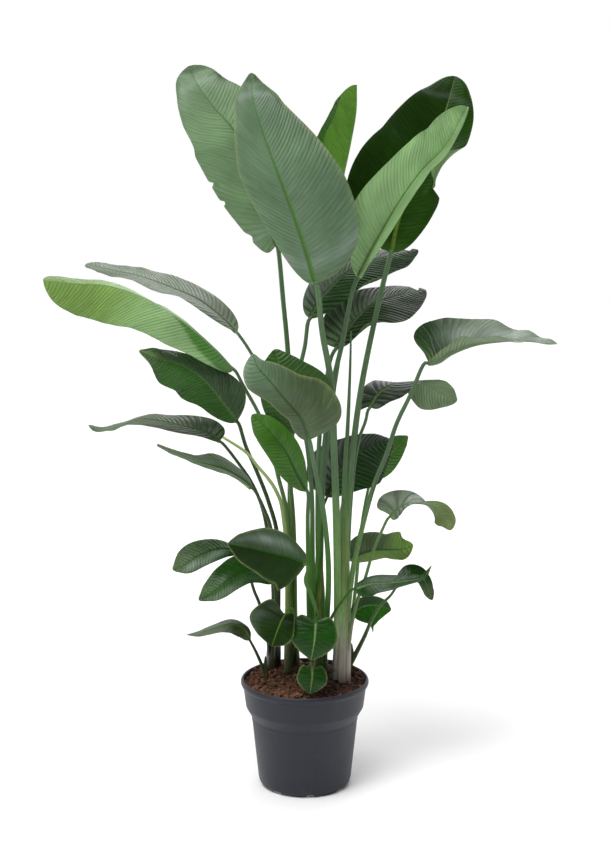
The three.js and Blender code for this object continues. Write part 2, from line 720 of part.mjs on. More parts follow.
function plugOf(foot) {
  const [x, y, a, b] = foot;
  const low = ellipse(SHOOT_DEPTH - GAP, x, y, a + GAP, b + GAP);
  return loftOf([low, ellipse(POT_HEIGHT + 30, x, y, a + GAP, b + GAP)]);
}

// the pot
function turned(profile, sides) {
  const points = profile.map(([radius, z]) => new THREE.Vector2(radius, z));
  const geometry = new THREE.LatheGeometry(points, sides);
  geometry.rotateX(Math.PI / 2);
  return geometry;
}

function potOf() {
  const profile = [
    [0, 0],
    [BASE_RADIUS, 0],
    [92.5, 2],
    [96.5, 8],
    [WALL_FOOT_RADIUS, WALL_FOOT],
    [STEP_FOOT_RADIUS, STEP_FOOT],
    [119.5, 163],
    [COLLAR_FOOT_RADIUS, COLLAR_FOOT],
    [COLLAR_TOP_RADIUS, COLLAR_TOP],
    [133.5, 218],
    [RIM_RADIUS, 223],
    [134.5, 228.5],
    [131.5, POT_HEIGHT],
    [128.5, 228.5],
    [COLLAR_TOP_RADIUS - WALL, COLLAR_TOP],
    [COLLAR_FOOT_RADIUS - WALL, COLLAR_FOOT],
    [119.5 - WALL, 163],
    [STEP_FOOT_RADIUS - WALL, STEP_FOOT],
    [WALL_FOOT_RADIUS - WALL, WALL_FOOT],
    [93.5, 7],
    [88, FLOOR],
    [0, FLOOR],
  ];
  let pot = solidOf(turned(profile, POT_SIDES));
  for (let i = 0; i < DRAIN_HOLES; i += 1) {
    const turn = (2 * Math.PI * (i + 0.5)) / DRAIN_HOLES;
    const hole = new THREE.CylinderGeometry(DRAIN_HOLE_RADIUS, DRAIN_HOLE_RADIUS, 12, 12);
    hole.rotateX(Math.PI / 2);
    hole.translate(DRAIN_RING * Math.cos(turn), DRAIN_RING * Math.sin(turn), FLOOR / 2);
    pot = pot.subtract(solidOf(hole));
  }
  for (let i = 0; i < NOTCHES; i += 1) {
    const notch = new THREE.BoxGeometry(20, NOTCH_WIDTH, 2 * NOTCH_HEIGHT);
    notch.translate(BASE_RADIUS + 6, 0, 0);
    notch.rotateZ((2 * Math.PI * i) / NOTCHES + 0.12);
    pot = pot.subtract(solidOf(notch));
  }
  return geometryOf(pot);
}

// the soil, heaped round the shoots
function soilHeight(x, y) {
  const r = Math.hypot(x, y);
  let z = SOIL_LEVEL;
  z += 15 * Math.exp(-((x + 50) ** 2 + (y - 55) ** 2) / 2600);
  z += 7 * Math.exp(-((x + 42) ** 2 + (y + 28) ** 2) / 2200);
  z += 17 * Math.exp(-((x - 98) ** 2 + (y - 38) ** 2) / 900);
  z += 8 * Math.exp(-((x - 40) ** 2 + (y + 5) ** 2) / 2200);
  z -= 4 * Math.exp(-((r - 119) ** 2) / 120);
  z += 1.8 * Math.sin(x * 0.11 + 1.3) * Math.sin(y * 0.13 + 0.4);
  z += 1.1 * Math.sin(x * 0.29 + y * 0.21) + 1.0 * Math.sin(y * 0.33 - x * 0.17 + 2);
  return z;
}

function soilOf(feet) {
  const top = [];
  for (let r = SOIL_RADIUS; r > 1; r -= SOIL_RADIUS / 6) top.push([r, SOIL_LEVEL]);
  const profile = [
    [0, FLOOR + GAP],
    [87.7, FLOOR + GAP],
    [93.0, 7 + GAP],
    [WALL_FOOT_RADIUS - WALL - GAP, WALL_FOOT],
    [STEP_FOOT_RADIUS - WALL - GAP, STEP_FOOT],
    [119.5 - WALL - GAP, 163],
    [COLLAR_FOOT_RADIUS - WALL - GAP, COLLAR_FOOT],
    ...top,
    [0, SOIL_LEVEL],
  ];
  const geometry = turned(profile, POT_SIDES);
  const place = geometry.getAttribute("position");
  for (let i = 0; i < place.count; i += 1) {
    if (place.getZ(i) > SOIL_LEVEL - 1) place.setZ(i, soilHeight(place.getX(i), place.getY(i)));
  }
  let soil = solidOf(geometry);
  for (const foot of feet) soil = soil.subtract(solidOf(plugOf(foot)));
  return geometryOf(soil);
}

// the whole plant
const plant = new THREE.Group();

function add(name, geometry, color, roughness) {
  const material = new THREE.MeshStandardMaterial({ color, roughness, metalness: 0 });
  const mesh = new THREE.Mesh(geometry, material);
  mesh.name = name;
  plant.add(mesh);
}

const feet = [...Object.values(SHOOTS).map((shoot) => shoot.foot), OLD_STALK.foot];
add("pot", potOf(), 0x3d4047, 0.5);
add("soil", soilOf(feet), 0x3c231e, 0.95);

const bundles = {};
for (const [name, shoot] of Object.entries(SHOOTS)) {
  bundles[name] = solidOf(sheathOf(shoot.foot, shoot.rings));
}
for (const leaf of LEAVES) {
  const rib = ribOf(leaf);
  const start = rib.at(0);
  const joint = start.centre.clone().addScaledVector(start.tangent, -GAP);
  const bend = start.centre.clone().addScaledVector(start.tangent, -3 * leaf.radii[0]);
  const back = start.tangent.clone().negate();
  const stalk = stalkOf([joint, bend, ...leaf.stalk.map(vector)], leaf.radii, back);
  bundles[leaf.shoot] = bundles[leaf.shoot].add(solidOf(stalk));
  add(leaf.name, bladeOf(leaf, rib), 0x3f6a35, 0.42);
}
const spear = stalkOf(SPEAR.route.map(vector), SPEAR.radii);
bundles.shoot_4 = bundles.shoot_4.add(solidOf(spear));
for (const [name, bundle] of Object.entries(bundles)) {
  add(name, geometryOf(bundle), 0x5f7d4a, 0.5);
}
const oldFoot = solidOf(sheathOf(OLD_STALK.foot, [[262, -36, 8, 6, 5.5]]));
const oldStalk = solidOf(stalkOf(OLD_STALK.route.map(vector), OLD_STALK.radii));
add("stalk_pale", geometryOf(oldFoot.add(oldStalk)), 0xb9bf8c, 0.55);

export default plant;
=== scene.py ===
import math

import bpy
import numpy as np
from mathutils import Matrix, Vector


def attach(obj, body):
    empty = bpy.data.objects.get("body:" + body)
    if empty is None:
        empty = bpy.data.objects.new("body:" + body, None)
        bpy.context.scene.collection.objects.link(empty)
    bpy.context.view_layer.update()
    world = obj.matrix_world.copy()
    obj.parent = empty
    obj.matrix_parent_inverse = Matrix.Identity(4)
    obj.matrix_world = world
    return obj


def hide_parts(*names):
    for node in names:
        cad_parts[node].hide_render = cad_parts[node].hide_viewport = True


# A white bird of paradise in a nursery pot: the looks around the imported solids.
# Lengths are millimetres in the row frame, and each mesh is made in metres.
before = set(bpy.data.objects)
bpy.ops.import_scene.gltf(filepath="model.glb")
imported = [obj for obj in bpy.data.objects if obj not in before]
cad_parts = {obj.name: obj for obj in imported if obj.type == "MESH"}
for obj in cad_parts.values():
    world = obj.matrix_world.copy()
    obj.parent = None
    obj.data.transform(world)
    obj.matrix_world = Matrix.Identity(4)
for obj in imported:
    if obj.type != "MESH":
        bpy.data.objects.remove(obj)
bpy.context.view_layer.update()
MM = 0.001

# the pot
POT_HEIGHT = 231
RIM_RADIUS = 135.5
COLLAR_TOP, COLLAR_TOP_RADIUS = 216, 130
COLLAR_FOOT, COLLAR_FOOT_RADIUS = 172, 124.5
STEP_TOP, STEP_TOP_RADIUS = 163, 119.5
STEP_FOOT, STEP_FOOT_RADIUS = 150, 112.3
WALL_FOOT, WALL_FOOT_RADIUS = 16, 98.5
BASE_RADIUS = 88
WALL, FLOOR = 2.3, 3
POT_SEGMENTS = 176
POT_TINT = (0.0130, 0.0155, 0.0248)
DRAIN_HOLES, DRAIN_HOLE_RADIUS, DRAIN_HOLE_SIDES, DRAIN_RING, DRAIN_CUT = 8, 5, 28, 70, (-6.0, 8.0)
NOTCHES, NOTCH_WIDTH, NOTCH_HEIGHT, NOTCH_TURN, NOTCH_REACH = 8, 14, 5, 0.12, (84, 104)

# the soil: heaps are place, height and twice the square of the spread, the dip along the pot is radius,
# depth and the same, lumps are height, size and seed, and the skirt inside the pot is radius and height
SOIL_LEVEL, SOIL_RADIUS = 223, 127
SOIL_SIDES, SOIL_RINGS = 220, 76
HEAPS = ((-50, 55, 15, 2600), (-42, -28, 7, 2200), (98, 38, 17, 900), (40, -5, 8, 2200))
EDGE_DIP = (119, 4, 120)
LUMPS = ((2.4, 6.5, 61), (1.3, 3.1, 62), (2.4, 17, 63))
SKIRT = ((87.0, 3.6), (95.5, 16), (109.2, 150), (121.5, 172), (SOIL_RADIUS - 0.3, 205))
SOIL_WARM, SOIL_DARK = (0.150, 0.060, 0.032), (0.012, 0.007, 0.005)
CRUMBS, CRUMB_SIZES, CRUMB_TINT = 2600, (0.5, 2.6), (0.100, 0.046, 0.027)
CRUMB_SHADES, CRUMB_ODDS = (0.4, 0.8, 1.3, 2.4), (0.3, 0.35, 0.25, 0.1)
FIBRES, FIBRE_LENGTHS, FIBRE_TINT = 520, (5, 17), (0.130, 0.064, 0.036)
FIBRE_HALF_BREADTH, FIBRE_POINTS = 0.45, 5
ANY_TURN = (0, 6.28)

# the leaves: ripples, sway and the drift of the pleats are height, span across a half and size
CURVE_STEPS = 32
ROW_STEP, ROW_LIMITS, ROW_EVENNESS = 2.4, (44, 210), 0.45
HALF_COLUMNS = 15
BLADE_THICKNESS, MARGIN_THICKNESS = 1.0, 0.45
RIM_WIDTH = 1.3
RIDGE_SHARE, RIDGE_EDGE = 0.3, 1.3
GROOVE, GROOVE_LIP, KEEL = 0.55, 0.16, 1.9
LOBE_PLACE = 0.07
SWEEP = 0.25
TIP_START = 0.8
FULL_LENGTH, LONG_LENGTH = 400, 250
RIPPLES = ((2.4, 40, 34), (0.9, 60, 15))
SWAY, DRIFT = (3.2, 70, 75), (4, 10, 110)
PLEAT_HEIGHT, PLEAT_PERIOD, SHORT_PLEAT_PERIOD = 0.42, 13, 9
SKIN_UNIT, SKIN_STEP = 100, 3.1
TINY, STRAIGHT = 1e-6, 1e-4

# the stalks
STALK_SIDES, STALK_RING_STEP = 20, 9
RING_CROWDING, STALK_TAPER, STALK_TUCK = 1.08, 1.15, 5
STALK_FLARE, FLARE_LENGTH = 0.22, 170
CHANNEL_DEPTH, CHANNEL_WIDTH, BLADE_END_LENGTH = 0.34, 0.62, 45
SHEATH_SIDES, SHEATH_STEP = 56, 4.0
SHEATH_FOOT, SHEATH_SOCKET, SHEATH_FAN = 205, 244, 215
SHEATH_LIP, LIP_LINE, LIP_OPENING = 0.9, 0.085, (16, 6)
SHEATH_RIBS = (0.22, 17)
SHEATH_CLOSING = (0.93, 0.82, 0.66, 0.46, 0.2)

# Each shoot: the centre and radii of its foot, its sheathed base as rings of height, centre and radii,
# its tones from the leaves down to the foot, and the open edges of its wrapped leaf bases as the height
# where each opens and its turn in degrees round the shoot at the foot and at that height. The front is
# at -90 degrees.
SHOOTS = {
    "shoot_1": {
        "foot": (-67, 56, 16, 21), "rings": [(300, -66, 54, 13, 18), (360, -64, 52, 9, 14)],
        "tones": ((0.048, 0.088, 0.030), (0.034, 0.062, 0.016), (0.030, 0.036, 0.018)),
        "edges": [(352, -150, -95), (330, 30, -60), (300, 110, 70)],
    },
    "shoot_2": {
        "foot": (-27, 58, 17, 17), "rings": [(330, -28, 58, 12, 14), (430, -30, 56, 7, 10)],
        "tones": ((0.092, 0.176, 0.070), (0.092, 0.200, 0.022), (0.030, 0.046, 0.012)),
        "edges": [(420, -130, -80), (380, 40, -40), (340, 120, 80)],
    },
    "shoot_3": {
        "foot": (28, -5, 21, 31),
        "rings": [(320, 28, -6, 16, 25), (420, 30, -4, 11, 18), (480, 31, -2, 6, 9)],
        "tones": ((0.084, 0.160, 0.070), (0.040, 0.140, 0.008), (0.022, 0.050, 0.007)),
        "edges": [(470, -120, -62), (430, -30, -100), (400, 100, 60), (360, 170, 120)],
    },
    "shoot_4": {
        "foot": (77, -7, 19, 18),
        "rings": [(330, 80, -6, 17, 16), (480, 80, -3, 13, 13), (590, 81, 0, 8, 9)],
        "tones": ((0.098, 0.178, 0.080), (0.160, 0.300, 0.085), (0.330, 0.305, 0.270)),
        "edges": [(585, -62, -78), (520, -115, -150), (470, 60, 10), (420, 130, 100)],
    },
    "shoot_5": {
        "foot": (95, 49, 7, 7), "rings": [(262, 100, 42, 5.5, 6)],
        "tones": ((0.060, 0.115, 0.040), (0.060, 0.115, 0.032), (0.090, 0.120, 0.050)),
        "edges": [(258, -120, -60)],
    },
    "shoot_6": {
        "foot": (-82, -5, 6, 6), "rings": [(250, -83, -7, 4, 4)],
        "tones": ((0.045, 0.080, 0.024), (0.040, 0.076, 0.020), (0.045, 0.060, 0.024)),
        "edges": [(247, -120, -60)],
    },
    "shoot_7": {
        "foot": (8, -61, 6, 6), "rings": [(248, 9, -62, 4, 4)],
        "tones": ((0.090, 0.150, 0.050), (0.090, 0.150, 0.042), (0.090, 0.130, 0.042)),
        "edges": [(245, -120, -60)],
    },
}

# The rolled new leaf of the right-hand shoot, and the pale old stalk on the left: route and radii.
SPEAR = (
    [(95, 25, 965), (93, 21, 880), (89, 14, 775), (84, 6, 680), (80, -1, 560), (77, -7, 400)], (1.6, 8)
)
OLD_STALK = (
    [(-165, -60, 760), (-120, -50, 728), (-98, -40, 698), (-74, -34, 668), (-56, -28, 636),
     (-45, -20, 595), (-36, -5, 480), (-36, 9, 236)],
    (3, 7),
)

LEAVES = []


def leaf(name, shoot, **own):
    """Adds a leaf: what it shares with most leaves, and its own numbers over that."""
    common = dict(
        folds=[0, 0, 0, 0], lobes=[0, 0], wave=[0, 3, 0], light=1.0, fore=None, far=None, halves=[1.0, 1.0],
        rib_shade="plain", margin="plain", slants=[0.07, 0.07], point=0.3, edge=0.0, heel=0.0, flush=None,
        bloom=None, stem=1.0, tears=[], curls=[],
    )
    LEAVES.append({**common, "name": name, "shoot": shoot, **own})


# Each leaf's shape: the radii of its stalk at the blade and in the shoot, its midrib from foot to tip,
# the half widths left and right at even steps along it, the way its upper side faces, the folds of the
# left and the right half in degrees at the midrib and at the margin, the lobe of each half behind the
# foot, the wave of the margin as height, number and start, and its stalk down to the shoot.
# Its look: its tone and how light that is, the tone of its right half (fore), that of its far end with
# start, end and side (far), how light the halves' upper sides are, partly their own tone and partly
# painted shade (halves), the shades of its midrib and margin, how strongly it is pleated, how far the
# veins of each half lean forward (slants), how pointed the tip is, how strong the painted shade on the
# rolled margins near the tip and the painted highlight just inside it are (edge), a painted highlight
# near the foot (heel), a darker green patch from the base that paints the shade of a fold, as side,
# start and reach (flush), a painted sheen streak on the upper side as side, middle, spread and
# strength (bloom), how light its stalk is (stem), tears in its margin as side, place, half
# length and depth, and curls of its margin as side, place, half length, angle and the share of the half
# that stays flat. Side -1 is the left half, 1 the right one and 0 both.
leaf("leaf_01", "shoot_2", radii=[4.6, 7],
     rib=[[-58, 95, 1133], [-88, 80, 1223], [-136, 85, 1354], [-186, 100, 1416], [-221, 125, 1463],
     [-238, 165, 1500]],
     widths=[[62, 90, 100, 84, 54], [60, 85, 95, 76, 88]], face=[[0.1, -1, 0.2], [0.1, -1, 0.3],
     [0, -1, 0.8]], folds=[14, -5, 14, -5], lobes=[30, 25],
     stalk=[[-45, 95, 1020], [-35, 90, 905], [-30, 78, 750], [-31, 68, 560], [-32, 60, 250]],
     tone="grey", light=1.75, rib_shade="fresh", pleat=0.2, slants=[0.14, 0.05], point=-0.3, edge=0.9,
     heel=0.25, tears=[[-1, 0.33, 0.012, 0.1], [-1, 0.25, 0.012, 0.12], [-1, 0.12, 0.02, 0.15]],
     curls=[[-1, 0.95, 0.12, -45, 0.6], [1, 0.95, 0.12, -15, 0.6]])
leaf("leaf_02", "shoot_4", radii=[5.4, 9],
     rib=[[22, -85, 1073], [-9, -95, 1176], [-46, -92, 1275], [-83, -72, 1373], [-101, -45, 1434],
     [-106, 0, 1483]],
     widths=[[66, 66, 74, 56, 58], [188, 136, 103, 74, 68]], face=[[0, -1, 0.25], [0, -1, 0.3],
     [0, -1, 0.8]], folds=[12, 0, 12, -12],
     stalk=[[35, -70, 975], [54, -50, 860], [61, -36, 695], [66, -28, 555], [69, -18, 405],
     [70, -12, 250]],
     tone="blue", light=1.06, halves=[1.08, 0.92], rib_shade="fresh", margin="pale", pleat=0.22,
     slants=[0.15, 0.12], point=0.4, edge=0.9, heel=0.3, curls=[[-1, 0.95, 0.1, -40, 0.6]])
leaf("leaf_03", "shoot_3", radii=[3.6, 6],
     rib=[[65, 215, 1083], [69, 225, 1167], [77, 232, 1250], [96, 240, 1336], [109, 250, 1405],
     [111, 265, 1462]],
     widths=[[60, 75, 80, 80, 80], [60, 70, 70, 70, 72]], face=[[-1, 0, 0], [-1, -0.1, 0]],
     folds=[70, 80, 60, 62],
     stalk=[[74, 190, 1010], [74, 165, 905], [62, 130, 825], [50, 100, 725], [37, 62, 600],
     [31, 14, 260]],
     tone="fresh", light=1.35, halves=[0.62, 1.0], pleat=0.2, point=-0.1)
leaf("leaf_04", "shoot_4", radii=[5, 8],
     rib=[[177, 55, 1124], [193, 66, 1193], [222, 80, 1261], [257, 100, 1334], [289, 128, 1406],
     [312, 170, 1479]],
     widths=[[185, 146, 108, 98, 90], [90, 72, 66, 80, 88]], face=[[0.1, -1, 0.1], [0.1, -1, 0.2],
     [0.1, -1, 0.6]], folds=[6, 0, 12, -5], wave=[10, 2.2, 0.1],
     stalk=[[155, 45, 1035], [127, 30, 905], [110, 20, 805], [95, 10, 675], [86, 0, 550], [81, -6, 405],
     [79, -8, 250]],
     tone="night", light=0.9, halves=[1.5, 2.4], rib_shade="olive", pleat=0.25, slants=[0.08, 0.08],
     point=-0.1, edge=0.25, tears=[[1, 0.33, 0.03, 0.25]], curls=[[1, 0.43, 0.11, 240, 0.4],
     [-1, 0.93, 0.1, -60, 0.6], [1, 0.93, 0.1, -60, 0.6]])
leaf("leaf_05", "shoot_3", radii=[4.4, 7.4],
     rib=[[107, -25, 1081], [142, -38, 1150], [187, -48, 1230], [231, -52, 1293], [278, -48, 1343],
     [321, -20, 1417]],
     widths=[[60, 86, 62, 64, 80], [60, 70, 60, 58, 74]], face=[[-0.4, -0.85, 0.3]],
     folds=[40, 30, 55, 45],
     stalk=[[93, -20, 1040], [76, -10, 945], [58, 0, 860], [42, 0, 740], [34, 0, 600], [30, -5, 445],
     [27, -9, 250]],
     tone="pale", light=1.4, halves=[0.95, 0.72], rib_shade="pale", pleat=0.15, slants=[0.12, 0.12],
     point=0.1, edge=0.3)
leaf("leaf_06", "shoot_2", radii=[3.3, 5.5],
     rib=[[-142, 60, 960], [-164, 80, 979], [-194, 102, 1001], [-229, 128, 1021], [-286, 168, 1040],
     [-354, 212, 1059], [-418, 252, 1068], [-478, 285, 1078]],
     widths=[[50, 48, 46, 46, 46], [50, 50, 46, 46, 46]], face=[[0, -0.1, 1], [0, -0.1, 1],
     [0, -0.3, 1]], folds=[[10, 6, 4, 2], [6, 4, 2, 0], [12, 10, 8, 4], [16, 12, 6, 2]], wave=[3, 3, 0],
     stalk=[[-110, 50, 915], [-75, 40, 850], [-48, 35, 755], [-31, 36, 650], [-22, 45, 520],
     [-20, 55, 250]],
     tone="sheen_grey", light=0.6, far=["sheen_grey", 0.05, 0.5, 0], rib_shade="deep", pleat=0.3,
     slants=[0.12, 0.12], point=-0.3)
leaf("leaf_07", "shoot_2", radii=[4.1, 6.4],
     rib=[[11, 60, 988], [32, 80, 1023], [59, 105, 1051], [93, 135, 1077], [160, 185, 1100],
     [244, 240, 1113]],
     widths=[[75, 70, 60, 50, 42], [55, 60, 66, 60, 50]], face=[[-0.3, -0.5, 0.8], [0, -0.45, 0.9]],
     folds=[0, -10, -15, -35],
     stalk=[[0, 60, 930], [-12, 61, 870], [-26, 65, 750], [-30, 67, 600], [-28, 66, 405],
     [-25, 64, 250]],
     tone="ribbed", light=1.5, fore="deep", rib_shade="deep", pleat=1.0, slants=[0.22, 0.22], point=0.2,
     tears=[[-1, 0.93, 0.04, 0.8]], curls=[[1, 0.5, 0.3, 150, 0.72]])
leaf("leaf_08", "shoot_3", radii=[4.1, 6.4],
     rib=[[64, 40, 928], [92, 60, 967], [119, 85, 995], [153, 115, 1014], [202, 160, 1024],
     [260, 210, 1029]],
     widths=[[110, 85, 60, 48, 42], [45, 55, 68, 62, 54]], face=[[-0.5, -0.6, 0.6], [0, -0.5, 0.85]],
     folds=[5, 0, -15, -35], lobes=[10, 0],
     stalk=[[50, 35, 895], [38, 35, 820], [29, 33, 715], [27, 30, 565], [30, 20, 395], [30, 8, 250]],
     tone="ribbed", light=1.9, fore="dark", rib_shade="deep", pleat=1.1, slants=[0.22, 0.23], point=0.1,
     tears=[[-1, 0.92, 0.04, 0.85]], curls=[[1, 0.2, 0.12, 150, 0.6]])
leaf("leaf_09", "shoot_2", radii=[3.7, 6.4],
     rib=[[-144, -18, 894], [-183, -44, 941], [-248, -72, 1002], [-320, -102, 1049], [-384, -130, 1074],
     [-444, -158, 1081], [-501, -188, 1090]],
     widths=[[82, 72, 76, 98, 104], [60, 56, 50, 50, 50]], face=[[0, -0.4, 0.9], [0, -0.4, 0.9],
     [0, -0.5, 0.85], [-0.1, -0.8, 0.6]], folds=[[-8, -14, -20, 0], [-32, -38, -40, -20], -18, -30],
     wave=[2.5, 3.5, 0.2],
     stalk=[[-124, 0, 855], [-92, 14, 790], [-70, 22, 725], [-55, 28, 660], [-35, 36, 565],
     [-30, 45, 410], [-29, 52, 250]],
     tone="pale", light=1.2, far=["lime", 0.4, 0.8, 0], pleat=0.2, slants=[0.14, 0.08], point=-0.2,
     flush=[-1, 0.42, 0.36])
leaf("leaf_10", "shoot_3", radii=[4.1, 6.4],
     rib=[[8, -190, 780], [-7, -205, 826], [-36, -215, 863], [-67, -220, 901], [-90, -216, 927],
     [-99, -205, 951]],
     widths=[[45, 24, 28, 54, 50], [135, 90, 52, 40, 28]], face=[[-0.1, -1, 0.4], [-0.1, -1, 0.5],
     [-0.2, -1, 0.7]], folds=[8, -10, 8, -12],
     stalk=[[19, -165, 720], [30, -140, 665], [40, -110, 600], [48, -70, 505], [48, -46, 415],
     [38, -22, 250]],
     tone="dull", light=0.92, far=["blue", 0.4, 0.9, 0], rib_shade="deep", margin="pale", pleat=0.2,
     slants=[0.08, 0.12])
leaf("leaf_11", "shoot_3", radii=[3.7, 6.4],
     rib=[[-2, -82, 775], [-17, -90, 821], [-33, -94, 862], [-49, -94, 907], [-59, -84, 943]],
     widths=[[70, 66, 58, 52, 50], [110, 95, 78, 58, 52]], face=[[0.1, -1, 0.4]], folds=[8, -5, 8, -5],
     stalk=[[8, -68, 715], [15, -50, 625], [16, -30, 495], [20, -10, 360], [22, 0, 250]],
     tone="fresh", light=0.6, pleat=0.3)
leaf("leaf_12", "shoot_4", radii=[4, 6.6],
     rib=[[250, -30, 907], [271, -38, 914], [296, -50, 932], [340, -75, 952], [395, -108, 963],
     [450, -142, 967], [490, -165, 965]],
     widths=[[165, 84, 52, 42, 30], [45, 45, 40, 32, 24]], face=[[0, -0.3, 1]],
     folds=[[46, 44, 24, 5, 0], [32, 28, 10, 0, 0], [45, 40, 30, 15, 0], [45, 45, 40, 20, 0]],
     lobes=[46, 0], wave=[4, 4, 0],
     stalk=[[215, -35, 845], [187, -38, 785], [166, -40, 720], [140, -35, 650], [115, -29, 550],
     [98, -20, 460], [86, -10, 330], [83, -8, 250]],
     tone="mature", light=0.55, fore="dull", far=["sheen_grey", 0.12, 0.35, 0], pleat=0.7,
     slants=[0.1, 0.1], bloom=[-1, 0.4, 0.3, 0.45], stem=0.75, curls=[[-1, 0.1, 0.1, 25, 0.3]])
leaf("leaf_13", "shoot_4", radii=[3.3, 4.6],
     rib=[[135, 30, 806], [156, 48, 834], [193, 72, 849], [232, 95, 848], [271, 118, 831],
     [323, 142, 797]],
     widths=[[62, 55, 42, 75, 80], [45, 48, 40, 45, 50]], face=[[-0.2, -0.6, 0.7], [0, -0.35, 0.9],
     [0, 0.35, 0.9], [0, 0.8, 0.6], [0, 0.85, 0.5]], folds=[-5, -15, -5, -15], lobes=[34, 8],
     stalk=[[125, 27, 775], [111, 24, 735], [102, 20, 675], [95, 15, 590], [90, 9, 485], [84, 3, 355],
     [80, 0, 250]],
     tone="ribbed", light=0.65, far=["grey", 0.5, 0.75, 0], pleat=0.9, slants=[0.2, 0.2])
leaf("leaf_14", "shoot_3", radii=[2.9, 4.6],
     rib=[[47, 75, 605], [62, 90, 636], [83, 105, 665], [114, 122, 690], [148, 142, 703],
     [190, 165, 708]],
     widths=[[110, 88, 52, 40, 40], [60, 75, 80, 76, 72]], face=[[-0.4, -0.8, 0.4], [-0.1, -0.8, 0.6]],
     folds=[5, -10, -10, -25],
     stalk=[[38, 70, 580], [28, 55, 515], [24, 38, 390], [25, 16, 250]],
     tone="ribbed", light=0.8, fore="deep", rib_shade="deep", pleat=1.0, slants=[0.18, 0.18],
     bloom=[-1, 0.5, 0.3, 0.12])
leaf("leaf_15", "shoot_4", radii=[2.9, 4.6],
     rib=[[151, 190, 618], [166, 192, 640], [183, 195, 664], [203, 200, 687], [225, 208, 710]],
     widths=[[38, 36, 34, 32, 30], [30, 28, 24, 20, 18]], face=[[0.3, -1, 0.1]],
     stalk=[[137, 170, 595], [122, 135, 520], [110, 90, 410], [95, 45, 300], [84, 2, 248]],
     tone="fresh", light=1.2, pleat=0.2)
leaf("leaf_16", "shoot_1", radii=[3.7, 5.5],
     rib=[[-138, -40, 789], [-167, -54, 831], [-204, -76, 880], [-248, -100, 914], [-289, -126, 930],
     [-323, -152, 949]],
     widths=[[48, 50, 66, 78, 70], [120, 62, 36, 32, 42]], face=[[0.1, -0.75, 0.65], [0, -0.75, 0.65]],
     folds=[5, -10, 5, -10], wave=[3, 3, 0],
     stalk=[[-120, -30, 735], [-99, -14, 680], [-75, 6, 610], [-57, 25, 530], [-56, 48, 410],
     [-60, 62, 250]],
     tone="mature", light=1.25, fore="ribbed", far=["dull", 0.75, 0.95, 0], halves=[1.1, 2.4],
     pleat=0.6, slants=[0.16, 0.16], curls=[[-1, 0.97, 0.1, 100, 0.5], [1, 0.97, 0.1, 120, 0.5]])
leaf("leaf_17", "shoot_1", radii=[3.3, 5.5],
     rib=[[-177, 40, 732], [-206, 52, 747], [-251, 74, 756], [-306, 98, 764], [-355, 122, 764],
     [-400, 148, 746], [-442, 172, 733], [-468, 190, 738]],
     widths=[[35, 35, 35, 32, 30], [72, 45, 32, 30, 28]], face=[[0, -0.15, 1], [0, 0, 1], [0, -0.1, 1]],
     folds=[[-5, -5, -10, -5], -20, [45, 15, 5, 5], [30, 10, 0, 0]], lobes=[0, 12],
     stalk=[[-137, 36, 685], [-108, 33, 640], [-85, 40, 575], [-71, 50, 475], [-66, 58, 385],
     [-66, 62, 250]],
     tone="dark", far=["dull", 0.15, 0.6, 0], rib_shade="deep", pleat=0.35, slants=[0.12, 0.12])
leaf("leaf_18", "shoot_1", radii=[3.7, 6.4],
     rib=[[-108, -50, 654], [-136, -62, 678], [-167, -78, 698], [-200, -100, 713], [-244, -130, 735],
     [-290, -162, 762]],
     widths=[[40, 42, 40, 38, 38], [72, 55, 26, 30, 34]], face=[[0, -0.1, 1]], folds=[0, -10,
     [20, 35, 12, 25], [10, 20, 10, 15]], lobes=[0, 12],
     stalk=[[-82, -40, 605], [-70, -30, 565], [-61, -8, 490], [-58, 20, 395], [-62, 46, 250]],
     tone="night", light=3.0, pleat=0.4, slants=[0.12, 0.12], point=-0.3)
leaf("leaf_19", "shoot_3", radii=[3.7, 6],
     rib=[[3, -105, 659], [-15, -115, 696], [-39, -122, 746], [-69, -122, 784], [-105, -115, 816]],
     widths=[[32, 38, 38, 40, 45], [20, 28, 30, 32, 38]], face=[[0.15, -1, 0.3]], folds=[15, 0, 15, 0],
     stalk=[[6, -85, 595], [7, -62, 505], [9, -36, 390], [15, -10, 250]],
     tone="fresh", rib_shade="deep", pleat=0.15)
leaf("leaf_20", "shoot_4", radii=[2.9, 4.6],
     rib=[[174, -60, 596], [192, -68, 615], [215, -80, 628], [243, -96, 630], [268, -112, 621],
     [285, -124, 603], [293, -130, 584]],
     widths=[[84, 60, 32, 38, 40], [35, 36, 34, 45, 48]], face=[[-0.2, -0.5, 0.8], [0, -0.25, 1],
     [0.2, 0.35, 0.9], [0.3, 0.8, 0.5], [0.3, 0.9, 0.4]], folds=[[20, 5, -5, -5], [10, -5, -15, -15],
     -5, -15], lobes=[28, 6],
     stalk=[[158, -52, 565], [141, -45, 520], [124, -35, 455], [106, -26, 395], [92, -18, 320],
     [85, -12, 250]],
     tone="sheen_grey", light=0.85, far=["olive", 0.5, 0.75, 0], pleat=0.4, slants=[0.12, 0.12], stem=0.6,
     curls=[[-1, 0.1, 0.12, 30, 0.3]])
leaf("leaf_21", "shoot_4", radii=[3.3, 4.6],
     rib=[[96, 55, 472], [122, 66, 483], [152, 78, 488], [186, 86, 486], [214, 88, 488],
     [231, 84, 498]],
     widths=[[60, 46, 34, 52, 62], [30, 26, 22, 44, 48]], face=[[0, -0.8, 0.5]], folds=[[0, 5, 15, 10],
     [10, 20, 50, 40], [0, 5, 15, 10], [10, 20, 50, 40]],
     stalk=[[89, 45, 430], [86, 26, 335], [83, 3, 250]],
     tone="dull", light=0.9, fore="lime", far=["lime", 0.45, 0.8, -1], halves=[1.0, 0.75],
     rib_shade="deep", margin="pale", pleat=0.4)
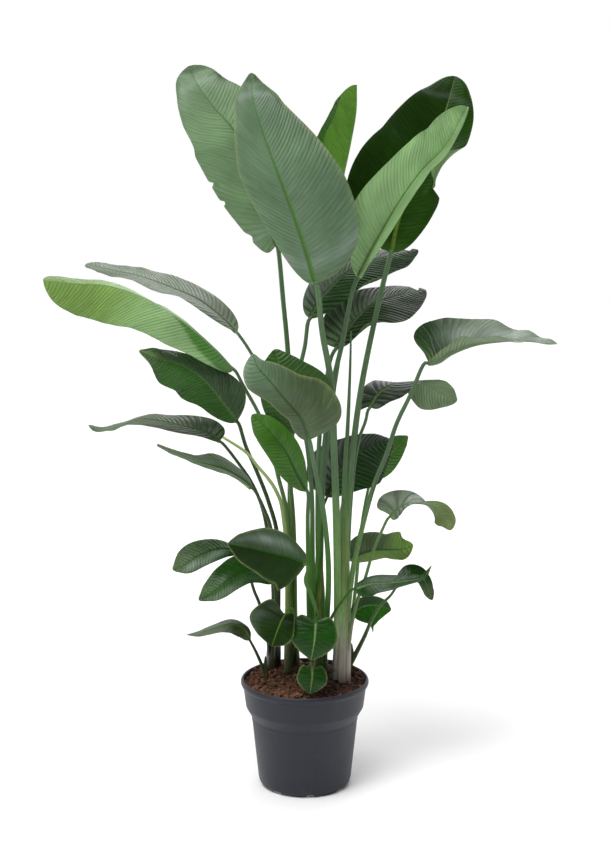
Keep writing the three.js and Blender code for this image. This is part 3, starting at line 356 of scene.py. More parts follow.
leaf("leaf_22", "shoot_3", radii=[2.5, 4.6],
     rib=[[101, -70, 445], [138, -75, 457], [174, -80, 460], [215, -85, 466], [243, -90, 476],
     [258, -92, 500]],
     widths=[[28, 22, 16, 12, 10], [52, 24, 14, 10, 8]], face=[[0, -0.4, 0.9]], folds=[20, 15,
     [-50, -10, 5, 5], [-70, -20, 0, 0]],
     stalk=[[82, -66, 425], [60, -58, 390], [48, -44, 350], [38, -24, 250]],
     tone="deep", light=0.95, far=["olive", 0.85, 0.95, 0], pleat=0.05, stem=0.7)
leaf("leaf_23", "shoot_5", radii=[2.5, 4.6],
     rib=[[194, -20, 437], [212, -15, 452], [232, -12, 458], [250, -12, 445], [266, -15, 405]],
     widths=[[28, 30, 16, 14, 20], [12, 15, 14, 16, 24]], face=[[0, -0.7, 0.7]], folds=[0, 10, 0, -20],
     stalk=[[178, -18, 415], [157, -9, 390], [140, 4, 355], [126, 17, 315], [107, 36, 268],
     [97, 47, 244]],
     tone="deep", far=["dull", 0.55, 0.8, 0], pleat=0.05)
leaf("leaf_24", "shoot_4", radii=[2.5, 3.7],
     rib=[[101, 46, 352], [118, 48, 369], [139, 50, 375], [161, 52, 372], [184, 56, 362]],
     widths=[[22, 22, 20, 20, 20], [60, 64, 52, 40, 28]], face=[[0, -1, 0.4]], folds=[20, 20, 0, 0],
     stalk=[[91, 34, 316], [88, 20, 276], [84, 3, 248]],
     tone="deep", light=1.3, halves=[1.0, 1.9], margin="pale", pleat=0.05, stem=0.5)
leaf("leaf_25", "shoot_3", radii=[3.3, 5.5],
     rib=[[2, -150, 519], [-25, -162, 535], [-65, -172, 548], [-108, -183, 561], [-151, -195, 572]],
     widths=[[150, 70, 50, 44, 34], [60, 64, 60, 48, 45]], face=[[0, -0.45, 0.88]],
     folds=[-55, -85, 15, 5], lobes=[0, 12],
     stalk=[[2, -132, 480], [13, -110, 445], [24, -82, 400], [30, -50, 330], [30, -28, 250]],
     tone="night", light=1.3, fore="ribbed", halves=[1.0, 1.7], rib_shade="deep", margin="pale",
     pleat=0.1, bloom=[1, 0.4, 0.2, 0.42])
leaf("leaf_26", "shoot_1", radii=[2.9, 4.6],
     rib=[[-140, -20, 508], [-163, -28, 518], [-191, -38, 517], [-221, -52, 508], [-245, -68, 495],
     [-269, -84, 489]],
     widths=[[28, 28, 28, 28, 28], [30, 36, 40, 40, 35]], face=[[0, -0.35, 0.9], [0, -0.5, 0.85]],
     folds=[-10, -30, 10, 5],
     stalk=[[-128, -15, 485], [-116, -10, 460], [-105, -2, 420], [-95, 9, 390], [-80, 30, 325],
     [-72, 48, 250]],
     tone="deep", light=1.2, far=["dull", 0.2, 0.9, 0], rib_shade="deep", pleat=0.2,
     bloom=[-1, 0.4, 0.4, 0.5])
leaf("leaf_27", "shoot_1", radii=[2.5, 4.6],
     rib=[[-68, -40, 449], [-94, -52, 469], [-123, -66, 477], [-155, -84, 468], [-186, -104, 450],
     [-214, -122, 436]],
     widths=[[25, 28, 30, 34, 32], [45, 45, 36, 34, 32]], face=[[0, -0.5, 0.85], [0, -0.6, 0.8]],
     folds=[0, -10, [35, 35, 10, 5], [60, 50, 5, 0]],
     stalk=[[-60, -25, 410], [-58, 5, 335], [-62, 42, 250]],
     tone="deep", light=1.2, far=["mature", 0.2, 0.8, 0], rib_shade="deep", pleat=0.12,
     bloom=[-1, 0.5, 0.3, 0.08])
leaf("leaf_28", "shoot_6", radii=[2.4, 3.2],
     rib=[[-114, -30, 323], [-126, -38, 349], [-151, -48, 363], [-185, -60, 358], [-216, -72, 351],
     [-242, -84, 351]],
     widths=[[35, 25, 12, 10, 10], [22, 18, 12, 10, 10]], face=[[0, -0.5, 0.85]],
     folds=[-30, -50, 0, -10],
     stalk=[[-102, -21, 295], [-91, -12, 265], [-83, -6, 240]],
     tone="olive", light=0.45, far=["sheen_grey", 0.25, 0.55, 0], pleat=0.2)
leaf("leaf_29", "shoot_2", radii=[2.5, 3.7],
     rib=[[-40, -95, 399], [-48, -105, 387], [-57, -110, 365], [-67, -112, 336]],
     widths=[[30, 34, 36, 36, 36], [88, 72, 64, 54, 50]], face=[[-0.2, -0.8, 0.6], [-0.2, -1, 0.2]],
     folds=[5, -10, 5, -10], lobes=[16, 26],
     stalk=[[-31, -84, 408], [-22, -66, 395], [-16, -25, 335], [-22, 46, 248]],
     tone="night", light=1.2, rib_shade="olive", margin="pale", pleat=0.1, bloom=[1, 0.75, 0.2, 0.12])
leaf("leaf_30", "shoot_3", radii=[2.9, 4.1],
     rib=[[22, -100, 386], [21, -110, 365], [19, -116, 344], [13, -120, 309]],
     widths=[[62, 50, 44, 34, 26], [66, 56, 50, 40, 28]], face=[[0, -0.8, 0.6], [0, -1, 0.2]],
     folds=[5, -10, 5, -10], lobes=[14, 18],
     stalk=[[26, -88, 392], [34, -74, 380], [36, -60, 330], [33, -28, 248]],
     tone="deep", light=1.3, rib_shade="pale", margin="pale", pleat=0.05)
leaf("leaf_31", "shoot_7", radii=[2.5, 3.7],
     rib=[[15, -105, 285], [15, -110, 269], [13, -113, 253], [11, -115, 235]],
     widths=[[40, 34, 30, 24, 20], [40, 34, 30, 24, 20]], face=[[0, -0.8, 0.6], [0, -1, 0.2]],
     folds=[5, -10, 5, -10], lobes=[10, 12],
     stalk=[[16, -97, 292], [14, -86, 292], [10, -70, 272], [8, -62, 240]],
     tone="deep", rib_shade="olive", margin="pale", pleat=0.05)

# Leaf tones: the upper side and the under side, as linear red, green and blue.
TONES = {
    "grey": ((0.088, 0.148, 0.072), (0.150, 0.230, 0.110)),
    "blue": ((0.097, 0.170, 0.090), (0.150, 0.230, 0.110)),
    # A pale grey green: the waxy upper side with the sheen of reflected light painted in.
    "sheen_grey": ((0.150, 0.195, 0.130), (0.150, 0.220, 0.115)),
    "dull": ((0.066, 0.110, 0.042), (0.130, 0.200, 0.090)),
    "night": ((0.006, 0.022, 0.001), (0.130, 0.230, 0.080)),
    "ribbed": ((0.022, 0.040, 0.018), (0.090, 0.180, 0.050)),
    "dark": ((0.016, 0.038, 0.009), (0.090, 0.160, 0.055)),
    "deep": ((0.008, 0.042, 0.003), (0.070, 0.150, 0.034)),
    "mature": ((0.022, 0.076, 0.010), (0.120, 0.205, 0.080)),
    "olive": ((0.070, 0.120, 0.022), (0.140, 0.200, 0.060)),
    "fresh": ((0.038, 0.140, 0.004), (0.090, 0.230, 0.018)),
    "pale": ((0.215, 0.365, 0.150), (0.220, 0.360, 0.140)),
    "lime": ((0.175, 0.325, 0.055), (0.250, 0.420, 0.095)),
}
RIB_SHADES = {
    "deep": (0.025, 0.075, 0.012),
    "fresh": (0.070, 0.190, 0.025),
    "plain": (0.080, 0.170, 0.035),
    "olive": (0.120, 0.190, 0.030),
    "pale": (0.180, 0.290, 0.090),
}
# Margin shades, each with its strength.
MARGIN_SHADES = {"plain": ((0.060, 0.110, 0.030), 0.25), "pale": ((0.300, 0.340, 0.140), 0.6)}
# The darker green painted as the shade of a fold at the base of a blade.
FOLD_SHADE = (0.040, 0.190, 0.003)
# The pale colour of the painted highlights, glints and sheen.
GLEAM = (0.330, 0.400, 0.360)

OLD_TONES = ((0.400, 0.500, 0.200), (0.200, 0.290, 0.080), (0.060, 0.075, 0.030))
DRY_MARGIN = (0.260, 0.130, 0.050)


# numbers
def unit(v):
    return v / np.maximum(np.linalg.norm(v, axis=-1, keepdims=True), 1e-9)


def dot(a, b):
    return np.sum(a * b, axis=-1, keepdims=True)


def ease(low, high, value):
    t = np.clip((value - low) / (high - low), 0, 1)
    return t * t * (3 - 2 * t)


def bell(offset, reach):
    return np.exp(-((offset / reach) ** 2))


def mix(a, b, share):
    share = np.asarray(share)[..., None]
    return np.asarray(a) * (1 - share) + np.asarray(b) * share


def round_turn(count, start=0.0):
    return np.linspace(start, start + 2 * np.pi, count, endpoint=False)


def noise(x, y, cell, seed, cells=64, shift=(20.37, 20.71)):
    """Smooth noise from -1 to 1 over a plane, the same on each run."""
    grid = np.random.default_rng(seed).uniform(-1, 1, (cells, cells))
    u, v = np.asarray(x) / cell + shift[0], np.asarray(y) / cell + shift[1]
    i, j = np.floor(u).astype(int), np.floor(v).astype(int)
    s, t = ease(0, 1, u - i), ease(0, 1, v - j)
    corner = [[grid[(i + a) % cells, (j + b) % cells] for b in (0, 1)] for a in (0, 1)]
    low, high = (near * (1 - t) + far * t for near, far in corner)
    return low * (1 - s) + high * s


def settled(values, soften=0.045, steps=400):
    """Values at even steps from 0 to 1 as one curve with its corners eased."""
    values = np.atleast_1d(values)
    values = np.repeat(values, 2) if len(values) == 1 else values
    grid = np.linspace(0, 1, steps + 1)
    line = np.interp(grid, np.linspace(0, 1, len(values)), values)
    reach = int(soften * steps)
    window = np.hanning(2 * reach + 3)[1:-1]
    before = 2 * line[0] - line[reach:0:-1]
    after = 2 * line[-1] - line[-2 : -reach - 2 : -1]
    eased = np.convolve(np.concatenate([before, line, after]), window / window.sum(), "valid")
    return lambda x: np.interp(x, grid, eased)


def smooth(points):
    """A Catmull-Rom curve through points."""
    p = np.asarray(points, float)
    p = np.vstack([2 * p[0] - p[1], p, 2 * p[-1] - p[-2]])
    t = np.linspace(0, 1, CURVE_STEPS, endpoint=False)[:, None]
    runs = []
    for i in range(1, len(p) - 2):
        a, b = p[i], p[i + 1]
        u, v = 0.5 * (b - p[i - 1]), 0.5 * (p[i + 2] - a)
        runs.append(a + u * t + (3 * (b - a) - 2 * u - v) * t**2 + (2 * (a - b) + u + v) * t**3)
    return np.vstack(runs + [p[-2:-1]])


class Line:
    """A smooth curve, read by the distance along it."""

    def __init__(self, points):
        self.places = smooth(points)
        steps = np.linalg.norm(np.diff(self.places, axis=0), axis=1)
        self.lengths = np.concatenate([[0], np.cumsum(steps)])
        self.length = self.lengths[-1]
        ahead = np.vstack([self.places[1:], self.places[-1:]])
        behind = np.vstack([self.places[:1], self.places[:-1]])
        self.tangents = unit(ahead - behind)

    def read(self, s, table):
        return np.stack([np.interp(s, self.lengths, column) for column in table.T], -1)

    def place(self, s):
        return self.read(s, self.places)

    def tangent(self, s):
        return unit(self.read(s, self.tangents))


class Rib(Line):
    """The midrib of a leaf, with the way the blade faces along it."""

    def __init__(self, leaf):
        super().__init__(leaf["rib"])
        self.face = [settled(column) for column in zip(*leaf["face"])]

    def at(self, s):
        """The place, the way along, the way up and the way to the right at a distance along it."""
        q = np.clip(s, 0, self.length)
        tangent = self.tangent(q)
        up = np.stack([face(q / self.length) for face in self.face], -1)
        up = unit(up - tangent * dot(up, tangent))
        return self.place(q) + tangent * (s - q)[..., None], tangent, up, np.cross(tangent, up)


# meshes
def body(name, parts, materials):
    """One object from parts, each with points, faces with their slot, colours and places in its skin."""
    points, faces, tints, skins, slots = [], [], [], [], []
    start = 0
    for part in parts:
        place = np.asarray(part["points"], float).reshape(-1, 3) * MM
        count = len(place)
        points.append(place)
        for block, slot in part["faces"]:
            block = np.atleast_2d(block) + start
            faces += block.tolist()
            slots += [slot] * len(block)
        tint = np.broadcast_to(np.reshape(part.get("tint", (0.5, 0.5, 0.5)), (-1, 3)), (count, 3))
        pleat = np.broadcast_to(np.reshape(part.get("pleat", 1.0), (-1, 1)), (count, 1))
        tints.append(np.hstack([tint, pleat]))
        skins.append(np.reshape(part.get("skin", np.zeros((count, 2))), (-1, 2)))
        start += count
    mesh = bpy.data.meshes.new(name)
    mesh.from_pydata(np.vstack(points).tolist(), [], faces)
    attribute = mesh.color_attributes.new(name="tint", type="FLOAT_COLOR", domain="POINT")
    attribute.data.foreach_set("color", np.vstack(tints).astype(np.float32).ravel())
    corner = np.zeros(len(mesh.loops), np.int32)
    mesh.loops.foreach_get("vertex_index", corner)
    uv = mesh.uv_layers.new(name="skin")
    uv.data.foreach_set("uv", np.vstack(skins).astype(np.float32)[corner].ravel())
    mesh.polygons.foreach_set("material_index", np.array(slots, np.int32))
    mesh.polygons.foreach_set("use_smooth", np.ones(len(slots), bool))
    for material in materials:
        mesh.materials.append(material)
    mesh.update()
    mesh.validate()
    return placed(name, mesh)


def placed(name, data):
    """A new object in the scene."""
    thing = bpy.data.objects.new(name, data)
    bpy.context.scene.collection.objects.link(thing)
    return thing


def grid_faces(rows, columns, offset=0, closed=False, flip=False):
    """The faces between rows of points; closed joins the last column to the first."""
    i, j = np.meshgrid(np.arange(rows - 1), np.arange(columns if closed else columns - 1), indexing="ij")
    a = (i * columns + j).ravel() + offset
    b = (i * columns + (j + 1) % columns).ravel() + offset
    quads = np.stack([a, b, b + columns, a + columns], 1)
    return quads[:, ::-1] if flip else quads


def ringed(points, **looks):
    """A closed part from rings of points, with a flat cap on the first and on the last ring."""
    rings, sides = points.shape[:2]
    cap = np.arange(sides)
    faces = [(grid_faces(rings, sides, closed=True), 0), (cap[::-1], 0), (cap + (rings - 1) * sides, 0)]
    return {"points": points, "faces": faces, **looks}


def levels(x, y, z):
    """Points from x and y by ring and side, and the height of each ring."""
    return np.stack([x, y, np.broadcast_to(np.reshape(z, (-1, 1)), x.shape)], -1)


def ride(piece, node):
    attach(piece, "root")
    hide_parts(node)


# materials
class Nodes:
    """Shader nodes, added one by one."""

    def __init__(self, tree):
        self.tree = tree

    def fill(self, node, inputs):
        """Each input, by name or number, linked to a socket or set to a value."""
        for key, value in inputs:
            socket = node.inputs[key]
            if isinstance(value, bpy.types.NodeSocket):
                self.tree.links.new(value, socket)
            else:
                socket.default_value = value

    def node(self, kind, output=0, inputs=(), **settings):
        node = self.tree.nodes.new("ShaderNode" + kind)
        for key, value in settings.items():
            setattr(node, key, value)
        self.fill(node, inputs)
        return node.outputs[output]

    def math(self, operation, *values):
        return self.node("Math", 0, enumerate(values), operation=operation)

    def times(self, first, *others):
        for other in others:
            first = self.math("MULTIPLY", first, other)
        return first

    def plus(self, a, b):
        return self.math("ADD", a, b)

    def range(self, value, to_low, to_high, low=0.3, high=0.7):
        """A value that runs from low to high, turned into one from to_low to to_high."""
        return self.node("MapRange", 0, enumerate((value, low, high, to_low, to_high)))


class Paint(Nodes):
    """A material and its nodes."""

    def __init__(self, name, shine):
        self.material = bpy.data.materials.new(name)
        self.material.use_nodes = True
        super().__init__(self.material.node_tree)
        self.shader = self.tree.nodes["Principled BSDF"]
        self.fill(self.shader, [("Specular IOR Level", shine)])

    def tint(self, part="Color"):
        return self.node("Attribute", part, attribute_name="tint")

    def skin(self):
        return self.node("UVMap", uv_map="skin")

    def place(self):
        return self.node("TexCoord", "Object")

    def scaled(self, vector, *factors):
        return self.node("VectorMath", 0, enumerate((vector, factors)), operation="MULTIPLY")

    def grain(self, vector, scale, detail=3.0, rough=0.55):
        inputs = {"Vector": vector, "Scale": scale, "Detail": detail, "Roughness": rough}
        return self.node("TexNoise", "Fac", inputs.items())

    def bands(self, vector, period, distortion, detail_scale):
        """Waves across the first number of a vector; Blender's own turn 20 radians in a unit."""
        inputs = {"Vector": vector, "Scale": 2 * math.pi / 20 / period, "Distortion": distortion,
                  "Detail Scale": detail_scale}
        return self.node("TexWave", "Fac", inputs.items(), wave_type="BANDS", bands_direction="X")

    def lit(self, factor):
        """The tint made lighter or darker."""
        inputs = {"Vector": self.tint(), "Scale": factor}
        return self.node("VectorMath", 0, inputs.items(), operation="SCALE")

    def blend(self, a, b, factor):
        return self.node("Mix", 2, ((0, factor), (6, a), (7, (*b, 1.0))), data_type="RGBA")

    def bump(self, height, distance, strength=1.0, **under):
        inputs = {"Strength": strength, "Distance": distance, "Height": height, **under}
        return self.node("Bump", "Normal", inputs.items())

    def finish(self, colour, roughness, normal):
        self.fill(self.shader, [("Base Color", colour), ("Roughness", roughness), ("Normal", normal)])
        return self.material


def leaf_skin(name, vein, gloss, contrast, depth, shine, glints, waver=0.7):
    """Veined leaf skin. The first number of the skin runs along the midrib, in tenths of a metre."""
    paint = Paint(name, shine)
    skin = paint.skin()
    broad = paint.bands(skin, vein, waver, 1.1)
    wide = paint.bands(skin, vein * 2.9, 3 * waver, 0.7)
    fine = paint.bands(skin, vein * 0.37, 0.8, 2.0)
    patch = paint.grain(skin, 1.3)
    streak = paint.grain(paint.scaled(skin, 1.0, 0.12, 1.0), 22.0, 4.0, 0.65)
    line = paint.times(paint.range(broad, 1.0, 0.0, 0.0, 0.16), paint.range(patch, 0.5, 1.0, 0.35, 0.65))
    veins = paint.times(paint.plus(broad, paint.times(wide, 0.35)), paint.range(patch, 0.5, 1.0))
    veins = paint.times(paint.math("SUBTRACT", veins, line), paint.tint("Alpha"))
    # Light and dark bands along the veins: partly the veins' own colour and partly painted sheen on the
    # pleats.
    light = paint.range(veins, 1.0 - contrast, 1.0 + contrast, -0.8, 1.2)
    light = paint.times(light, paint.range(streak, 0.84, 1.18), paint.range(patch, 0.9, 1.1))
    height = paint.plus(paint.plus(paint.times(fine, 0.12), veins), paint.times(streak, 0.35))
    # Glints: painted highlights, a pale grey-green on the fine vein lines where the streaks run.
    glint = paint.times(paint.range(fine, 0.0, glints, 0.7, 1.0), paint.range(streak, 0.0, 1.0, 0.5, 0.68))
    colour = paint.blend(paint.lit(light), GLEAM, paint.times(glint, paint.tint("Alpha")))
    return paint.finish(colour, paint.range(streak, gloss - 0.08, gloss + 0.1), paint.bump(height, depth))


def stalk_skin(name, gloss, shine):
    """Ribbed stalk skin with fine lengthwise lines and a waxy, glaucous look."""
    paint = Paint(name, shine)
    skin = paint.skin()
    lines = paint.grain(paint.scaled(skin, 0.35, 9.0, 1.0), 9.0, 4.0, 0.6)
    patch = paint.grain(skin, 2.5)
    light = paint.times(paint.range(lines, 0.68, 1.3), paint.range(patch, 0.88, 1.12))
    rough = paint.range(patch, gloss - 0.06, gloss + 0.08)
    return paint.finish(paint.lit(light), rough, paint.bump(lines, 0.0005))


def pot_plastic():
    """Dark blue-grey moulded plastic with a satin face, faint flow streaks and a little dust."""
    paint = Paint("pot_plastic", 0.4)
    place = paint.place()
    streak = paint.grain(paint.scaled(place, 1.0, 1.0, 0.06), 60.0, 4.0, 0.6)
    patch = paint.grain(place, 9.0, 4.0)
    fine = paint.grain(place, 900.0, 2.0)
    dust = paint.range(paint.grain(place, 34.0, 6.0, 0.7), 0.0, 0.3, 0.62, 0.8)
    light = paint.times(paint.range(streak, 0.9, 1.1), paint.range(patch, 0.88, 1.12))
    colour = paint.blend(paint.lit(light), (0.12, 0.105, 0.095), dust)
    normal = paint.bump(streak, 0.0002, 0.6, Normal=paint.bump(fine, 0.0002, 0.5))
    return paint.finish(colour, paint.range(patch, 0.42, 0.56), normal)


def crumb_skin():
    """Damp coir and bark."""
    paint = Paint("coir", 0.3)
    place = paint.place()
    fine = paint.grain(place, 420.0, 5.0, 0.7)
    clump = paint.grain(place, 90.0)
    light = paint.times(paint.range(fine, 0.35, 1.6, 0.25, 0.75), paint.range(clump, 0.6, 1.35))
    return paint.finish(paint.lit(light), paint.range(fine, 0.75, 0.95), paint.bump(fine, 0.0016))


def plain_floor():
    paint = Paint("studio_floor", 0.1)
    patch = paint.grain(paint.place(), 1.5)
    colour = paint.blend((0.93, 0.93, 0.93, 1.0), (0.95, 0.95, 0.95), patch)
    return paint.finish(colour, 0.9, paint.bump(patch, 0.0))


# leaves
def half_width(leaf, side, x):
    """How wide one half of the blade is, with the tears in its margin."""
    swept = x + SWEEP * x * (1 - x)
    full = np.sqrt(np.clip(np.sin(np.pi * np.clip(swept, 0, 1)), 0, 1))
    widths = settled(leaf["widths"][side > 0])(x)
    least = np.where(x < 0.5, leaf["radii"][0] + 1.0, 0.6)
    width = np.maximum(widths * full * (1 - leaf["point"] * ease(TIP_START, 1.0, x)), least)
    for torn, place, reach, depth in leaf["tears"]:
        if torn == side:
            width = width * (1 - depth * np.clip(1 - np.abs(x - place) / reach, 0, 1))
    return width


def curled(leaf, side, x, a, wide, out, rise):
    """The curls of a margin, bent on from the flat part of its half."""
    for curl, place, reach, angle, within in leaf["curls"]:
        if curl == side:
            far = np.clip(a - within, 0, 1)
            bow = np.radians(angle) * bell(x - place, reach) * far / (1 - within) + TINY
            out = out - wide * far * (1 - np.sin(bow) / bow)
            rise = rise + wide * far * (1 - np.cos(bow)) / bow
    return out, rise


def unevenness(leaf, length, row, x, a, side, seed):
    """How far a blade stands off its fold: waves, ripples and a sway of the margin, and pleats."""
    height, waves, phase = leaf["wave"]
    swing = np.sin(2 * np.pi * (waves * x + phase + (0.5 if side < 0 else 0)))
    along = length * row
    size = min(length / FULL_LENGTH, 1.0)
    broad, fine, sway, drift = (
        noise(along, a * across, cell, seed + i) * rise
        for i, (rise, across, cell) in enumerate((*RIPPLES, SWAY, DRIFT))
    )
    ripple = broad + fine
    period = PLEAT_PERIOD if length > LONG_LENGTH else SHORT_PLEAT_PERIOD
    fold = np.sin(2 * np.pi * (along + drift) / period)
    fold = fold * (0.65 + 0.35 * noise(along, a * 50, 50, seed + 7))
    pleats = leaf["pleat"] * PLEAT_HEIGHT * fold * ease(0.04, 0.35, a) * (1 - 0.4 * a)
    calm = np.sqrt(np.clip(np.sin(np.pi * x), 0, 1))
    return (height * a**1.5 * swing + size * (ripple * a**3 + sway * ease(0.05, 0.6, a)) + pleats) * calm


def blade_half(leaf, rib, x, side, seed):
    """One half of the blade by rows: its points, their share a of the way from the midrib to the margin,
    the midrib's share, the width of the half and the place along the blade."""
    right = side > 0
    width = half_width(leaf, side, x)
    radius = leaf["radii"][0] * (1 - x) ** 0.9 + 0.7
    ridge = np.minimum(radius / width, RIDGE_SHARE)[:, None]
    edge = 1 - np.clip(RIM_WIDTH / width, 0.004, 0.12)[:, None]
    inner = np.array([0, 0.5, 1.0, RIDGE_EDGE]) * ridge
    steps = np.linspace(0, 1, HALF_COLUMNS - 4)[1:]
    a = np.hstack([inner, inner[:, 3:] + (edge - inner[:, 3:]) * steps, np.ones((len(x), 1))])
    row = np.broadcast_to(x[:, None], a.shape)
    x = row + leaf["slants"][right] * 4 * row * (1 - row) * a
    behind = leaf["lobes"][right] * (x / LOBE_PLACE) * np.exp(1 - x / LOBE_PLACE)
    middle = rib.length * x
    s = middle + (rib.length * (x + SWEEP * x * (1 - x)) - behind - middle) * a**1.8
    start, end = (np.radians(settled(fold)(x)) for fold in leaf["folds"][2 * right : 2 * right + 2])
    turn = end - start
    turn = np.where(np.abs(turn) < STRAIGHT, STRAIGHT, turn)
    wide = half_width(leaf, side, x)
    out = wide * (np.sin(start + turn * a) - np.sin(start)) / turn
    rise = wide * (np.cos(start) - np.cos(start + turn * a)) / turn
    out, rise = curled(leaf, side, x, a, wide, out, rise)
    rise = rise + unevenness(leaf, rib.length, row, x, a, side, seed)
    centre, _, up, over = rib.at(s)
    points = centre + over * (side * out)[..., None] + up * rise[..., None]
    return points, a, ridge * np.ones(a.shape), wide, x


# How a blade's colours are spread: its mottling is strength, size, seed and span across a half, and a
# span is where an eased edge starts and ends. Margin spans are millimetres, and the others shares.
MOTTLING = ((0.16, 90, 5, 60), (0.1, 30, 6, 80))
FOLD_SHADE_STRENGTH, FOLD_SHADE_EDGE = 0.9, 0.035
GLEAM_PLACE, GLEAM_REACH, GLEAM_STRENGTH = 0.88, 0.02, 0.35
HEEL_PLACE, HEEL_REACH = 0.07, 0.035
TIP_ROLL_SHADE, SIDE_ROLL_SHADE, ROLL_SHADE_ACROSS, LEFT_ROLL_SHADE = (0.92, 0.96), (0.7, 0.85), (0.8, 0.94), 0.3
RIB_SPANS = ((0.85, 0.45), (1.2, 0.8))
RIB_FADE, FOOT_SHADE, FOOT_REACH = 0.35, 0.35, 0.05
MARGIN_SPAN = (1.8, 0.5)


def leaf_colours(leaf, x, a, side, ridge, wide, seed, under):
    """The colours of the upper or the under side, by the place x along and a across the blade."""

    def cloud(cell, shift, across=60):
        return noise(x * FULL_LENGTH, a * across, cell, seed + shift)

    tone = np.array(TONES[leaf["tone"]][under]) * leaf["light"]
    fore = np.array(TONES[leaf["fore"]][under]) if leaf["fore"] else tone
    colour = np.where((side < 0)[..., None], tone, fore) * np.ones(a.shape + (1,))
    if leaf["far"]:
        far, start, end, way = leaf["far"]
        colour = mix(colour, TONES[far][under], ease(start, end, x) * ((way == 0) | (side == way)))
    # Each half's upper side made lighter or darker, partly for its own tone and partly as painted shade.
    if not under:
        colour = colour * np.where(side < 0, *leaf["halves"])[..., None]
    colour = colour * sum((strength * cloud(*spread) for strength, *spread in MOTTLING), 1)[..., None]
    # A painted sheen: a pale streak on the upper side, where a glossy leaf would reflect the light.
    if leaf["bloom"] and not under:
        way, middle, spread, strength = leaf["bloom"]
        streak = bell(a - middle - 0.2 * x, spread) * ease(0.05, 0.3, x) * ease(1.0, 0.7, x)
        streak = streak * np.clip(0.8 + 0.5 * cloud(45, 7), 0, 1) * (side == way)
        colour = mix(colour, GLEAM, strength * streak)
    # A darker green patch from the base paints the shade of the fold there.
    if leaf["flush"]:
        way, start, reach = leaf["flush"]
        fresh = FOLD_SHADE_STRENGTH * ease(0, FOLD_SHADE_EDGE, start - x - reach * a)
        colour = mix(colour, FOLD_SHADE, fresh * (side == way))
    # A painted highlight: a pale band across the blade just short of the tip.
    gleam = bell(x + 0.05 * a - GLEAM_PLACE, GLEAM_REACH) * ease(0.95, 0.8, a)
    colour = mix(colour, GLEAM, GLEAM_STRENGTH * leaf["edge"] * gleam)
    # A painted highlight near the foot of the blade.
    heel = bell(x - HEEL_PLACE - 0.05 * a, HEEL_REACH) * np.clip(0.7 + cloud(24, 8), 0, 1)
    colour = mix(colour, GLEAM, leaf["heel"] * heel)
    # Painted shade: the rolled margins near the tip and the tip itself darkened towards the mature tone.
    rolled = ease(*SIDE_ROLL_SHADE, x) * ease(*ROLL_SHADE_ACROSS, a) * np.where(side < 0, LEFT_ROLL_SHADE, 1.0)
    rolled = rolled + ease(*TIP_ROLL_SHADE, x)
    colour = mix(colour, TONES["mature"][0], leaf["edge"] * np.clip(rolled, 0, 1))
    shade = np.array(RIB_SHADES[leaf["rib_shade"]])
    shade = 0.5 * (shade + tone) + 0.05 if under else shade
    colour = mix(colour, shade, ease(*RIB_SPANS[under], a / ridge) * (1 - RIB_FADE * x))
    colour = mix(colour, RIB_SHADES["plain"], FOOT_SHADE * bell(x, FOOT_REACH))
    margin, strength = MARGIN_SHADES[leaf["margin"]]
    return np.clip(mix(colour, margin, strength * ease(*MARGIN_SPAN, (1 - a) * wide)), 0, 1)


def rim_faces(deep, broad):
    """The narrow faces round a shell whose upper points come first and whose lower points follow."""
    count = deep * broad
    rows, columns = np.arange(deep - 1), np.arange(broad - 1)
    sides = (
        (rows * broad, broad, True),
        (rows * broad + broad - 1, broad, False),
        (columns, 1, False),
        (columns + (deep - 1) * broad, 1, True),
    )
    rims = []
    for first, step, turned in sides:
        quads = np.stack([first, first + step, first + step + count, first + count], 1)
        rims.append(quads if turned else quads[:, ::-1])
    return np.concatenate(rims)


